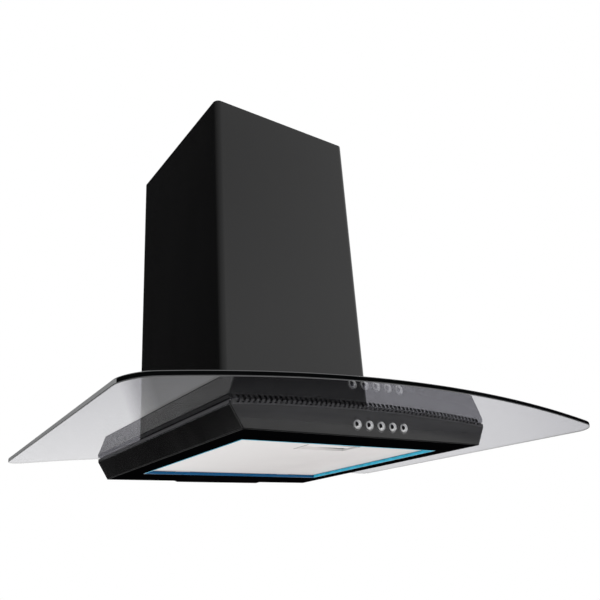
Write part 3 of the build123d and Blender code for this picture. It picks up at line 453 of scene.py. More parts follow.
@dataclass(frozen=True)
class Enamel(Finish):
    """Baked black enamel: fine orange peel, faint wiping marks, edges lightened as thinner paint and as a painted
    highlight, and painted light and shade on faces to the front.
    """

    edge_wear_and_highlight_colour: Colour = (0.012, 0.012, 0.013)
    lip_colour: Colour = (0.085, 0.085, 0.087)
    front_shading_colour: Colour | None = None
    fade: Span | None = None
    lip: Span | None = None
    lip_roughness: float = 0.5
    hem: float | None = None
    hem_roughness: float = 0.9
    hem_ease: float = 0.0004
    hem_bare: float = 0.002
    edge_reach: float = 0.0009

    def lay(self, bench: Bench) -> None:
        """Lays the paint, its wear and a painted highlight along its edges.

        `lip` is the height range of a lighter upright band on the sides, the front colour a tone painted on faces to
        the front as their light and shade, which `fade` thins downwards, and `hem` the height under which the paint
        is dull.

        Args:
            bench: The material's bench.
        """
        place = bench.place()
        wiped = bench.noise(bench.place((1.0, 1.0, 0.25), (0.0, 0.3, 0.2)), scale=30.0, detail=5.0)
        self.gloss(bench, wiped)
        dust = bench.spread(bench.noise(place, scale=9.0, detail=4.0), (0.45, 0.75), (0.0, 0.35), soft=True)
        base = bench.tint(dust, self.colour, self.toned(1.5))
        # Edge mask for thinner paint and a painted highlight along the edges.
        worn = bench.edges(self.edge_reach)
        if self.hem is not None:
            height = bench.axes(place)[2]
            worn = bench.sums("MULTIPLY", worn, bench.spread(height, (self.hem, self.hem + self.hem_bare)))
            bench.dull(bench.spread(height, (self.hem - self.hem_ease, self.hem), (self.hem_roughness, 0.0)))
        base = bench.tint(worn, base, self.edge_wear_and_highlight_colour)
        # Painted light and shade: faces to the front take the front colour, thinned downwards.
        if self.front_shading_colour is not None:
            ahead = bench.spread(bench.true_normal()[1], AHEAD_SPAN, (1.0, 0.0))
            if self.fade is not None:
                rise = bench.spread(bench.axes(place)[2], self.fade)
                ahead = bench.sums("MULTIPLY", ahead, rise)
            base = bench.tint(ahead, base, self.front_shading_colour)
        if self.lip is not None:
            band = self.band(bench, place)
            base = bench.tint(band, base, self.lip_colour)
            bench.dull(bench.sums("MULTIPLY", band, self.lip_roughness))
        bench.paint(base)
        self.grain(bench, place, detail=1.5)

    def band(self, bench: Bench, place: Socket) -> Socket:
        """The upright band under the glass, on faces that look sideways.

        Args:
            bench: The material's bench.
            place: Position socket.

        Returns:
            A value socket, 1 on the band.
        """
        sideways = bench.sums("ABSOLUTE", bench.true_normal()[0], 0.0)
        facing = bench.spread(sideways, SIDEWAYS_SPAN)
        return bench.sums("MULTIPLY", bench.within(bench.axes(place)[2], self.lip, (0.0003, 0.0003)), facing)


@dataclass(frozen=True)
class SmokedGlass(Finish):
    """Tinted tempered glass with faint wiping marks."""

    def lay(self, bench: Bench) -> None:
        """Lets light through and lays smears that only change the gloss.

        Args:
            bench: The material's bench.
        """
        bench.shader.inputs["Transmission Weight"].default_value = 1.0
        smear = bench.noise(bench.place((1.0, 0.35, 1.0), (0.0, 0.0, 0.5)), scale=22.0, detail=5.0)
        bench.join(bench.spread(smear, (0.5, 0.8), (0.0, self.roughness_spread)), bench.shader.inputs["Roughness"])
        tone = bench.share(bench.noise(bench.place(), scale=3.0, detail=1.0))
        bench.paint(bench.tint(tone, self.colour, self.toned(0.97)))


@dataclass(frozen=True)
class Brushed(Finish):
    """Rolled or brushed metal with long fine marks."""

    along: Point = (1.0, 0.02, 1.0)
    marks_per_metre: float = 1800.0

    def lay(self, bench: Bench) -> None:
        """Lays the marks; `along` squeezes their long axis.

        Args:
            bench: The material's bench.
        """
        marks = bench.noise(bench.place(self.along), scale=self.marks_per_metre, detail=3.0)
        self.gloss(bench, marks)
        worn = bench.edges(METAL_WEAR)
        light = self.toned(1.15)
        tone = bench.tint(bench.share(marks), self.toned(0.93), light)
        bench.paint(bench.tint(worn, tone, light))
        bench.relief(marks, self.grain_depth)


@dataclass(frozen=True)
class Galvanised(Finish):
    """Zinc-coated sheet with its crystal spangle."""

    spangle: float = 0.006

    def lay(self, bench: Bench) -> None:
        """Lays the crystals, each with its own tone and gloss.

        Args:
            bench: The material's bench.
        """
        place = bench.place()
        crystals = bench.cells(place, 1.0 / self.spangle)
        tone = bench.axes(crystals.outputs["Color"])[0]
        shine = bench.spread(tone, (0.0, 1.0), (self.roughness - 0.08, self.roughness + 0.1))
        bench.join(shine, bench.shader.inputs["Roughness"])
        colour = bench.tint(tone, self.toned(0.8), self.colour)
        worn = bench.edges(METAL_WEAR)
        bench.paint(bench.tint(worn, colour, self.toned(1.3)))
        self.grain(bench, place)


@dataclass(frozen=True)
class MeshLayers(Finish):
    """Layers of expanded aluminium mesh: fine diamond openings pressed flat."""

    pitch: float = 0.0032
    turn: float = 0.52
    shade: Colour = (0.2, 0.2, 0.2)
    cover: float = 1.0

    def lay(self, bench: Bench) -> None:
        """Lays the strands; `cover` is how strongly the openings show.

        Args:
            bench: The material's bench.
        """
        first = bench.wave(bench.place(turn=(0.0, 0.0, self.turn)), self.pitch)
        second = bench.wave(bench.place(turn=(0.0, 0.0, -self.turn)), self.pitch)
        strand = bench.sums("MAXIMUM", first, second)
        opening = bench.spread(strand, (0.35, 0.75), (self.cover, 0.0), soft=True)
        slow = bench.noise(bench.place(), scale=16.0, detail=3.0)
        warm = bench.tint(bench.spread(slow, (0.35, 0.65)), self.colour, self.toned(0.965))
        mesh = bench.tint(opening, warm, self.shade)
        bench.paint(self.painted_light_and_shade(bench, mesh))
        self.gloss(bench, slow)
        bench.relief(strand, self.grain_depth)

    def painted_light_and_shade(self, bench: Bench, mesh: Socket) -> Socket:
        """Painted light and shade over the mesh's colour, which is none on a plain mesh."""
        return mesh


@dataclass(frozen=True)
class FilterFace(MeshLayers):
    """The filter's outer face, with painted light that makes it paler to the left and painted shade at two edges of
    the finger pocket.
    """

    pocket: tuple[float, float, float, float] = (-0.0355, 0.0355, -0.305, -0.276)
    shadow_colour: Colour = (0.04, 0.043, 0.046)
    pale: Span = (-0.13, 0.05)
    painted_light_share: float = 0.9
    side_width: float = 0.0018
    side_share: float = 0.75
    line_width: float = 0.004

    def painted_light_and_shade(self, bench: Bench, mesh: Socket) -> Socket:
        """Lays painted light on the left and painted shade at the pocket's edges over the mesh's colour.

        Args:
            bench: The material's bench.
            mesh: The plain mesh's colour socket.

        Returns:
            The colour socket.
        """
        x, y, _ = bench.axes(bench.place())
        left, right, front, rear = self.pocket
        # Painted shade in thin lines beside the pocket's left edge and ahead of its front edge.
        beside = bench.within(x, (left - self.side_width, left), (0.0003, 0.0))
        side = bench.sums("MULTIPLY", beside, bench.within(y, (front, rear), (0.0005, 0.0)))
        ahead = bench.within(y, (front - self.line_width, front), (0.002, 0.0))
        growing = bench.spread(x, (left * 0.3, right), (0.0, 0.9))
        short = bench.spread(x, (right, right + 0.001), (1.0, 0.0))
        line = bench.sums("MULTIPLY", ahead, bench.sums("MULTIPLY", growing, short))
        shade = bench.sums("MAXIMUM", bench.sums("MULTIPLY", side, self.side_share), line)
        # Painted light: paler towards the left.
        lit = bench.tint(bench.spread(x, self.pale, (self.painted_light_share, 0.0)), mesh, self.toned(1.3))
        return bench.tint(shade, lit, self.shadow_colour)


@dataclass(frozen=True)
class LatchMetal(Finish):
    """Pressed metal of the finger pocket, with painted shade under its roof that grows to the right."""

    shadow_colour: Colour = (0.05, 0.055, 0.06)
    shadow_drop: Span = (0.0034, 0.0018)
    right: float = 0.0355
    roof: float = -0.1312

    def lay(self, bench: Bench) -> None:
        """Lays the painted shade and a slow change of tone.

        Args:
            bench: The material's bench.
        """
        place = bench.place()
        x, _, z = bench.axes(place)
        # Painted shade under the pocket's roof, deeper to the right.
        low, high = (self.roof - drop for drop in self.shadow_drop)
        near_roof = bench.spread(z, (low, high), soft=True)
        shade = bench.sums("MULTIPLY", near_roof, bench.spread(x, (-0.2 * self.right, self.right), (0.0, 0.9)))
        slow = bench.noise(place, scale=40.0, detail=4.0)
        tone = bench.tint(bench.share(slow), self.colour, self.toned(0.96))
        bench.paint(bench.tint(shade, tone, self.shadow_colour))
        self.gloss(bench, slow)
        self.grain(bench, place)


@dataclass(frozen=True)
class ButtonChrome(Finish):
    """Polished chrome with a black spot off its middle, a painted dark reflection."""

    centre: Span = (0.0, 0.0)
    spot: float = 0.0028
    dark_reflection_colour: Colour = (0.004, 0.004, 0.0045)
    offset: Span = (-0.0031, 0.0)

    def lay(self, bench: Bench) -> None:
        """Lays the spot of painted dark reflection; `centre` is the button's middle in X and Z.

        Args:
            bench: The material's bench.
        """
        # The spot is a painted dark reflection, set off to the left of the middle.
        across, up = (middle + shift for middle, shift in zip(self.centre, self.offset))
        coordinates = bench.add("ShaderNodeTexCoord")
        mapping = bench.add("ShaderNodeMapping", vector_type="TEXTURE")
        mapping.inputs["Location"].default_value = (across, 0.0, up)
        bench.join(coordinates.outputs["Object"], mapping.inputs["Vector"])
        x, _, z = bench.axes(mapping.outputs["Vector"])
        flat = bench.sums("ADD", bench.sums("MULTIPLY", x, x), bench.sums("MULTIPLY", z, z))
        far = bench.sums("SQRT", flat, 0.0)
        inside = bench.spread(far, (self.spot - 0.0003, self.spot), (1.0, 0.0))
        marks = bench.noise(bench.place(), scale=900.0, detail=3.0)
        self.gloss(bench, marks)
        tone = bench.tint(bench.share(marks), self.colour, self.toned(0.95))
        bench.paint(bench.tint(inside, tone, self.dark_reflection_colour))


@dataclass(frozen=True)
class Film(Finish):
    """Thin blue protective film, darker along the rear edge."""

    rear_colour: Colour = (0.001, 0.11, 0.28)
    rear: Span = (-0.084, -0.0805)

    def lay(self, bench: Bench) -> None:
        """Lays the wrinkles and the darker rear edge; `rear` is where the darker tone starts and is full.

        Args:
            bench: The material's bench.
        """
        bench.shader.inputs["Coat Weight"].default_value = 0.15
        bench.shader.inputs["Coat Roughness"].default_value = 0.2
        place = bench.place()
        # Darker towards the rear edge.
        back = bench.spread(bench.axes(place)[1], self.rear, soft=True)
        wrinkle = bench.noise(bench.place((1.0, 1.0, 3.0)), scale=90.0, detail=3.0)
        pale = tuple(min(1.0, c * 1.35 + 0.02) for c in self.colour)
        tone = bench.tint(bench.spread(wrinkle, (0.35, 0.7)), self.colour, pale)
        bench.paint(bench.tint(back, tone, self.rear_colour))
        self.gloss(bench, wrinkle)
        bench.relief(wrinkle, self.grain_depth)


FINISHES: dict[Slot, Finish] = {
    Slot.ENAMEL: Enamel(
        "black_enamel", (0.0016, 0.0016, 0.0018), 0.17, roughness_spread=0.03, grain_size=0.0011, grain_depth=0.000008
    ),
    Slot.GLASS: SmokedGlass("smoked_glass", (0.30, 0.298, 0.33), 0.0, ior=1.6, roughness_spread=0.02),
    Slot.FILTER_SILVER: MeshLayers(
        "filmed_filter_face", (0.80, 0.765, 0.757), 0.5, specular=0.25, grain_depth=0.00001,
        shade=(0.76, 0.73, 0.72), cover=0.35,
    ),
    Slot.MESH: MeshLayers("aluminium_mesh", (0.62, 0.62, 0.63), 0.38, metallic=0.8, grain_depth=0.00025),
    Slot.FILM: Film("blue_film", (0.035, 0.47, 0.68), 0.3, specular=0.2, grain_size=0.01, grain_depth=0.0001),
    Slot.CHROME: Brushed("chrome", (0.86, 0.87, 0.88), 0.06, 1.0, roughness_spread=0.03, grain_depth=0.0000003),
    Slot.ZINC: Galvanised("zinc_steel", (0.56, 0.57, 0.58), 0.36, 1.0, grain_depth=0.000008),
    Slot.BLACK_PLASTIC: Finish("black_plastic", (0.012, 0.012, 0.013), 0.42, grain_size=0.0006, grain_depth=0.00003),
    Slot.SMOKED_PLASTIC: Finish(
        "smoked_lamp_cover", (0.0012, 0.0009, 0.0012), 0.6, specular=0.0, grain_size=0.0012, grain_depth=0.00003
    ),
    Slot.GREY_PLASTIC: Finish("grey_plastic", (0.16, 0.165, 0.17), 0.45, grain_size=0.0007, grain_depth=0.00003),
    Slot.BOARD: Finish("white_board", (0.66, 0.67, 0.64), 0.35, grain_size=0.0009, grain_depth=0.00001),
    Slot.RUBBER: Finish(
        "black_rubber", (0.008, 0.008, 0.008), 0.7, specular=0.2, grain_size=0.0008, grain_depth=0.00004
    ),
    Slot.MOTOR: Finish("motor_alloy", (0.42, 0.43, 0.44), 0.42, 0.9, grain_size=0.0012, grain_depth=0.00006),
}
MATT_BLACK = Enamel(
    "matt_underside", (0.0012, 0.0012, 0.0014), 0.85, specular=0.0, grain_size=0.0009, grain_depth=0.00003,
    edge_wear_and_highlight_colour=(0.004, 0.004, 0.0042),
)
# Painted shade: the glass's ground front edge is made black and unreflecting, unlike the same ground edge at the
# sides.
SHADED_FRONT_EDGE = Finish(
    "ground_front_edge_painted_shade", (0.0006, 0.0008, 0.0009), 0.5, specular=0.0, grain_size=0.0008, grain_depth=0.00001
)
PALE_EDGE = Finish(
    "ground_side_edge", (0.235, 0.237, 0.24), 0.55, specular=0.3, grain_size=0.0008, grain_depth=0.00004
)
# The foam seal's faces to the front are painted near-black as shade.
SEAL = Enamel(
    "foam_seal", (0.06, 0.06, 0.061), 0.8, specular=0.1, grain_size=0.0009, grain_depth=0.00006,
    edge_wear_and_highlight_colour=(0.06, 0.06, 0.061), front_shading_colour=(0.0008, 0.0008, 0.0009),
)
# Painted shade: near-black and unreflecting, for the shade in the front vent notches.
NOTCH_SHADE = Finish("comb_notch_shade", (0.0006, 0.0006, 0.0007), 0.85, specular=0.0, grain_size=0.0008, grain_depth=0.00002)
# Polished arrises: the gloss is real, and the opaque grey colour is a painted highlight line along the rims.
ARRIS = Finish("polished_arris_painted_highlight", (0.07, 0.071, 0.073), 0.18, specular=0.9, grain_size=0.002, grain_depth=0.000004)


# ---------------------------------------------------------------- shared mesh work
def turned(bm: Mesh, profile: Sequence[Span], centre: Point, axis: Axis, steps: int) -> list[bmesh.types.BMVert]:
    """Turns a profile round an axis.

    Args:
        bm: The mesh.
        profile: Radius and distance along the axis of each point.
        centre: A point on the axis.
        axis: The axis's direction.
        steps: Sides of the turned shape.

    Returns:
        The vertices made.
    """
    middle, way = Vector(centre), Vector(axis.value)
    out = Vector((0.0, 0.0, 1.0)) if axis is not Axis.Z else Vector((1.0, 0.0, 0.0))
    before = set(bm.verts)
    points = [bm.verts.new(middle + out * radius + way * along) for radius, along in profile]
    lines = [bm.edges.new(pair) for pair in zip(points, points[1:])]
    bmesh.ops.spin(
        bm, geom=points + lines, cent=middle, axis=way, dvec=(0.0, 0.0, 0.0), angle=2 * math.pi, steps=steps,
        use_merge=True, use_normal_flip=False, use_duplicate=False,
    )
    made = [v for v in bm.verts if v not in before]
    bmesh.ops.remove_doubles(bm, verts=made, dist=1e-6)
    return [v for v in bm.verts if v not in before]


def settle(bm: Mesh) -> None:
    """Puts vertices, edges and faces in the order of their places, which is the same each run.

    Args:
        bm: The mesh.
    """
    def corners(part: bmesh.types.BMEdge | bmesh.types.BMFace) -> list[int]:
        """Numbers of the part's vertices, lowest first."""
        return sorted(v.index for v in part.verts)

    for parts, rank in ((bm.verts, lambda v: v.co[:]), (bm.edges, corners), (bm.faces, corners)):
        for index, part in enumerate(sorted(parts, key=rank)):
            part.index = index
        parts.sort()


def piece(
    name: str,
    bm: Mesh,
    finishes: Sequence[Material],
    crease: float = 32.0,
    turn_out: bool = True,
) -> bpy.types.Object:
    """Makes an object of a mesh, smooth but for its sharp edges.

    Args:
        name: The piece's name.
        bm: The mesh, which is freed.
        finishes: Materials in the order of the faces' indices.
        crease: Angle in degrees from which an edge stays sharp.
        turn_out: Turns the faces outwards.

    Returns:
        The object.
    """
    if turn_out:
        bmesh.ops.recalc_face_normals(bm, faces=bm.faces[:])
    for edge in bm.edges:
        edge.smooth = len(edge.link_faces) == 2 and math.degrees(edge.calc_face_angle(0.0)) < crease
    for face in bm.faces:
        face.smooth = True
    settle(bm)
    mesh = bpy.data.meshes.new(name)
    bm.to_mesh(mesh)
    bm.free()
    for finish in finishes:
        mesh.materials.append(finish)
    made = bpy.data.objects.new(name, mesh)
    bpy.context.scene.collection.objects.link(made)
    return made


class Workshop:
    """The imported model, its finishes and the ways to dress a node or add a piece."""

    def __init__(self, frame: dict) -> None:
        """Builds every finish once.

        Args:
            frame: What the frame loader gave.
        """
        self.frame = frame
        self.finishes = {slot: finish.material() for slot, finish in FINISHES.items()}

    def dress(self, slot: Slot, *nodes: str, finish: Material | None = None) -> None:
        """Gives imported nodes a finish.

        Args:
            slot: The record's slot.
            *nodes: Names of the nodes.
            finish: A finish of their own instead of the slot's.
        """
        material = finish or self.finishes[slot]
        for node in nodes:
            mesh = self.frame["nodes"][node].data
            mesh.materials.clear()
            mesh.materials.append(material)
            log.info("%s wears %s", node, material.name)

    def mount(self, made: bpy.types.Object, body: Body, slot: Slot, *replaced: str) -> None:
        """Lets a piece ride on a body and stand for nodes.

        Args:
            made: The piece.
            body: The body.
            slot: The record's slot that its finish comes from; not used.
            *replaced: Nodes that it stands for.
        """
        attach(made, body.value)
        if replaced:
            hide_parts(*replaced)
        log.info("%s rides on %s with %d faces", made.name, body.value, len(made.data.polygons))


# ---------------------------------------------------------------- sub-assemblies
@dataclass
class GlassCanopy:
    """The bent glass sheet and the four caps that hold it."""

    width: float = 0.600
    rear_width: float = 0.581
    front: float = -0.44498
    rear: float = -0.012
    bow: float = 0.012
    sag: float = 0.018
    thickness: float = 0.005
    corner: float = 0.025
    notch_half: float = 0.102
    notch_front: float = -0.211
    notch_corner: float = 0.012
    arris: float = 0.0008
    strip: float = 0.010
    side_half: float = 0.2
    bow_reach: float = 0.0325
    rim_turn: float = 60.0
    rim_normal: float = 0.9
    flat_normal: float = 0.96
    slant_normal: float = 0.25

    def drop(self, x: float) -> float:
        """How far the sheet has fallen at x from its crest."""
        radius = (self.width**2 / 4 + self.sag**2) / (2 * self.sag)
        return radius - math.sqrt(radius**2 - x**2)

    def plan(self, bm: Mesh) -> None:
        """Draws the flat outline with rounded corners and the notch behind.

        Args:
            bm: The mesh.
        """
        front, rear = self.width / 2, self.rear_width / 2
        corners = [
            (-front, self.front), (front, self.front), (rear, self.rear), (self.notch_half, self.rear),
            (self.notch_half, self.notch_front), (-self.notch_half, self.notch_front), (-self.notch_half, self.rear),
            (-rear, self.rear),
        ]
        points = [bm.verts.new((x, y, 0.0)) for x, y in corners]
        bm.faces.new(points)
        outer = [p for p in points if abs(p.co.x) > self.side_half]
        bmesh.ops.bevel(
            bm, geom=outer, offset=self.corner, segments=12, profile=0.5, affect="VERTICES", material=-1
        )
        limit = self.notch_front + self.notch_corner
        inner = [v for v in bm.verts if abs(v.co.x) < self.side_half and v.co.y < limit]
        bmesh.ops.bevel(
            bm, geom=inner, offset=self.notch_corner, segments=6, profile=0.5, affect="VERTICES", material=-1
        )

    def bend(self, bm: Mesh, crest: float) -> None:
        """Cuts the sheet in strips, bows its front edge and bends it down at the sides.

        Args:
            bm: The mesh.
            crest: Height of the underside at the middle.
        """
        count = int(self.width / 2 / self.strip)
        for i in range(-count + 1, count):
            everything = bm.verts[:] + bm.edges[:] + bm.faces[:]
            cut = (i * self.strip, 0.0, 0.0)
            bmesh.ops.bisect_plane(bm, geom=everything, dist=1e-5, plane_co=cut, plane_no=Axis.X.value)
        for v in bm.verts:
            if v.co.y < self.front + self.bow_reach:
                v.co.y -= self.bow * (1 - (2 * v.co.x / self.width) ** 2)
            v.co.z = crest - self.drop(v.co.x)

    def sheet(self, shop: Workshop) -> None:
        """Builds the sheet with ground edges, the front one painted black as shade, and polished arrises that carry a
        painted highlight.

        Args:
            shop: The workshop.
        """
        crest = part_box("glass_canopy")[1].z - self.thickness
        bm = bmesh.new()
        self.plan(bm)
        self.bend(bm, crest)
        top = bmesh.ops.extrude_face_region(bm, geom=bm.faces[:], use_keep_orig=True)["geom"]
        bmesh.ops.translate(
            bm, verts=[v for v in top if isinstance(v, bmesh.types.BMVert)], vec=(0.0, 0.0, self.thickness)
        )
        bmesh.ops.recalc_face_normals(bm, faces=bm.faces[:])
        rim = [
            e for e in bm.edges
            if len(e.link_faces) == 2 and math.degrees(e.calc_face_angle(0.0)) > self.rim_turn
            and max(abs(f.normal.z) for f in e.link_faces) > self.rim_normal
        ]
        bmesh.ops.bevel(bm, geom=rim, offset=self.arris, segments=2, profile=0.5, affect="EDGES", material=-1)
        bm.normal_update()
        for face in bm.faces:
            flat = abs(face.normal.z)
            if flat > self.flat_normal:
                face.material_index = GlassFace.SHEET
            elif flat > self.slant_normal:
                face.material_index = GlassFace.ARRIS
            elif face.normal.y < -self.slant_normal:
                face.material_index = GlassFace.FRONT_EDGE
            else:
                face.material_index = GlassFace.SIDE_EDGE
        finishes = [shop.finishes[Slot.GLASS], *(edge.material() for edge in (SHADED_FRONT_EDGE, PALE_EDGE, ARRIS))]
        made = piece("bent_glass", bm, finishes, crease=15.0)
        shop.mount(made, Body.CANOPY, Slot.GLASS, "glass_canopy")

    def build(self, shop: Workshop) -> None:
        """Builds the sheet and dresses the caps and the gasket.

        Args:
            shop: The workshop.
        """
        self.sheet(shop)
        shop.dress(Slot.CHROME, "glass_screws")
        shop.dress(Slot.RUBBER, "glass_gasket", finish=SEAL.material())


@dataclass
class CanopyBody:
    """The black body: shell, notched strip, underside and corner brackets."""

    slope_top: float = 0.022
    lip_height: float = 0.004
    # Tone painted on faces to the front as the light that falls on them.
    front_shading_tone: Colour = (0.046, 0.046, 0.0465)
    tooth_pitch: float = 0.006
    tooth_width: float = 0.0036
    tooth_height: float = 0.0038
    tooth_depth: float = 0.0012
    tooth_shift: float = 0.0005
    tooth_lean: float = 32.0
    tooth_round: float = 0.0003
    comb_half: float = 0.1695
    comb_y: float = -0.3729

    def comb(self, shop: Workshop) -> None:
        """Builds the near-black ribbed teeth that stand on the glass over the front notches, as painted shade in the
        notches.

        Args:
            shop: The workshop.
        """
        glass = GlassCanopy()
        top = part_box("glass_canopy")[1].z
        lean = Matrix.Identity(4)
        lean[0][2] = -math.tan(math.radians(self.tooth_lean))
        count = int(self.comb_half / self.tooth_pitch)
        bm = bmesh.new()
        for i in range(-count, count + 1):
            x = i * self.tooth_pitch - self.tooth_shift
            foot = Vector((x, self.comb_y, top - glass.drop(abs(x) + self.tooth_width)))
            size = Matrix.Diagonal((self.tooth_width, self.tooth_depth, self.tooth_height, 1.0))
            up = Matrix.Translation((0.0, 0.0, self.tooth_height / 2))
            bmesh.ops.create_cube(bm, size=1.0, matrix=Matrix.Translation(foot) @ lean @ up @ size)
        sharp = [e for e in bm.edges if math.degrees(e.calc_face_angle(0.0)) > 60.0]
        bmesh.ops.bevel(
            bm, geom=sharp, offset=self.tooth_round, segments=1, profile=0.5, affect="EDGES", material=-1,
            clamp_overlap=True,
        )
        made = piece("vent_comb", bm, [NOTCH_SHADE.material()], crease=50.0)
        shop.mount(made, Body.CANOPY, Slot.RUBBER)

    def build(self, shop: Workshop) -> None:
        """Dresses the body's nodes and adds the comb.

        Args:
            shop: The workshop.
        """
        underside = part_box("canopy_shell")[0].z
        low = underside + self.slope_top
        shell = Enamel(
            "body_enamel", (0.0011, 0.0011, 0.0013), 0.2, specular=0.6, roughness_spread=0.03, grain_size=0.0011,
            # Painted light on the shell's faces to the front, thinned downwards.
            grain_depth=0.000004, lip=(low + 0.001, low + self.lip_height + 0.001), front_shading_colour=self.front_shading_tone,
            # The pale edge colour is a painted highlight along the shell's edges.
            hem=underside + 0.0012, fade=(underside + 0.003, underside + 0.023), edge_wear_and_highlight_colour=(0.6, 0.6, 0.605),
            edge_reach=0.0018,
        )
        # The strip's faces to the front take the same painted light.
        strip = Enamel(
            "strip_enamel", (0.0024, 0.0024, 0.0026), 0.3, specular=0.95, roughness_spread=0.03, grain_depth=0.000004,
            front_shading_colour=self.front_shading_tone,
        )
        shop.dress(Slot.ENAMEL, "canopy_shell", finish=shell.material())
        shop.dress(Slot.ENAMEL, "front_vent_strip", finish=strip.material())
        self.comb(shop)
        shop.dress(Slot.ENAMEL, "underside_panel", finish=MATT_BLACK.material())
        shop.dress(Slot.ZINC, "corner_brackets")
        shop.dress(Slot.FILM, "opening_film")


@dataclass
class GreaseFilter:
    """The grease filter cassette with its finger latch."""

    def build(self, shop: Workshop) -> None:
        """Dresses the cassette.

        Args:
            shop: The workshop.
        """
        low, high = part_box("latch_pocket")
        face = FilterFace(
            "filter_outer_face", (0.785, 0.752, 0.744), 0.5, specular=0.25, grain_depth=0.00001,
            shade=(0.757, 0.728, 0.72), cover=0.3, pocket=(low.x, high.x, low.y, high.y),
        )
        shop.dress(Slot.FILTER_SILVER, "filter_face", finish=face.material())
        shop.dress(Slot.FILTER_SILVER, "filter_frame")
        # Painted light: the pocket's metal is paler than the filter face to make up for the shade in the recess.
        metal = LatchMetal(
            "latch_metal", (0.93, 0.9, 0.89), 0.5, specular=0.2, grain_size=0.0009, right=high.x, roof=high.z
        )
        shop.dress(Slot.FILTER_SILVER, "latch_pocket", "latch_slider", finish=metal.material())
        shop.dress(Slot.MESH, "filter_core", "filter_back")


@dataclass
class PushButtons:
    """Five domed chrome buttons with a black spot of painted dark reflection, in rings with a black flange."""

    bodies: tuple[Body, ...] = (
        Body.BUTTON_OFF, Body.BUTTON_LOW, Body.BUTTON_MEDIUM, Body.BUTTON_HIGH, Body.BUTTON_LAMP
    )
    radius: float = 0.0037
    dome: float = 0.0017
    ring_outer: float = 0.0047
    ring_inner: float = 0.0039
    ring_stand: float = 0.0022
    flange: float = 0.0055
    flange_sheet: float = 0.0004
    bezel_sheet: float = 0.001
    collar_back: float = 0.0088
    collar_sheet: float = 0.001
    stem: float = 0.0028
    steps: int = 40
    dome_steps: int = 9
    ring_steps: int = 8

    def cap_profile(self, front: float) -> list[Span]:
        """Points of the dome from its middle to its rim.

        Args:
            front: The dome's front along Y.

        Returns:
            Radius and distance along Y of each point.
        """
        ball = (self.radius**2 + self.dome**2) / (2 * self.dome)
        reach = math.asin(self.radius / ball)
        turns = [reach * i / self.dome_steps for i in range(self.dome_steps + 1)]
        return [(ball * math.sin(t), front + ball * (1 - math.cos(t))) for t in turns]

    def button(self, shop: Workshop, body: Body) -> Point:
        """Builds one button.

        Args:
            shop: The workshop.
            body: The button's body, which has its node's name.

        Returns:
            The middle of the button at its front.
        """
        low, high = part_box(body.value)
        name = body.value.removeprefix("button_")
        x, z = (low.x + high.x) / 2, (low.z + high.z) / 2
        collar, tip = (high.x - low.x) / 2, high.y
        seat = tip - self.collar_back
        back = seat + self.collar_sheet
        profile = [
            *self.cap_profile(low.y), (self.radius, seat), (collar, seat), (collar, back), (self.stem, back),
            (self.stem, tip), (0.0, tip),
        ]
        bm = bmesh.new()
        turned(bm, profile, (x, 0.0, z), Axis.Y, self.steps)
        chrome = ButtonChrome(f"chrome_{name}", (0.97, 0.975, 0.98), 0.08, 0.6, roughness_spread=0.02, centre=(x, z))
        made = piece(f"dome_{name}", bm, [chrome.material()], crease=35.0)
        shop.mount(made, body, Slot.CHROME, body.value)
        return (x, low.y, z)

    def rings(self, shop: Workshop, places: Iterable[Point]) -> None:
        """Builds the rounded rings that the buttons come through.

        Args:
            shop: The workshop.
            places: Middles of the buttons.
        """
        low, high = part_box("button_bezels")
        back = low.y + self.bezel_sheet
        front = back - self.flange_sheet
        middle, half = (self.ring_outer + self.ring_inner) / 2, (self.ring_outer - self.ring_inner) / 2
        turns = [math.pi * i / self.ring_steps for i in range(self.ring_steps + 1)]
        lip = [(middle + half * math.cos(t), front - self.ring_stand * math.sin(t)) for t in turns]
        profile = [
            (self.ring_outer, high.y), (self.ring_outer, back), (self.flange, back), (self.flange, front),
            (self.ring_outer, front), *lip, (self.ring_inner, high.y), (self.ring_outer, high.y),
        ]
        bm = bmesh.new()
        for x, _, z in places:
            verts = turned(bm, profile, (x, 0.0, z), Axis.Y, self.steps)
            for face in {f for v in verts for f in v.link_faces}:
                centre = face.calc_center_median()
                if math.hypot(centre.x - x, centre.z - z) > self.ring_outer + 0.0001:
                    face.material_index = 1
        # The flange's faces to the front take the body's painted light.
        flange = Enamel("flange_enamel", (0.0016, 0.0016, 0.0018), 0.25, front_shading_colour=CanopyBody.front_shading_tone)
        satin = Brushed("ring_chrome", (0.93, 0.935, 0.94), 0.16, 0.4, roughness_spread=0.03, grain_depth=0.0000003)
        made = piece("button_rings", bm, [satin.material(), flange.material()], crease=50.0)
        shop.mount(made, Body.CANOPY, Slot.CHROME, "button_bezels")

    def build(self, shop: Workshop) -> None:
        """Builds the buttons and rings and dresses the switches behind them.

        Args:
            shop: The workshop.
        """
        places = [self.button(shop, body) for body in self.bodies]
        self.rings(shop, places)
        shop.dress(Slot.BLACK_PLASTIC, "switch_bank")
        shop.dress(Slot.ZINC, "switch_terminals", "switch_bracket")


@dataclass
class Lamp:
    """The lamp in the rear of the underside."""

    def build(self, shop: Workshop) -> None:
        """Dresses the lamp's nodes.

        Args:
            shop: The workshop.
        """
        shop.dress(Slot.SMOKED_PLASTIC, "lamp_lens")
        shop.dress(Slot.ZINC, "lamp_housing")
        shop.dress(Slot.BOARD, "lamp_board", "lamp_leds")


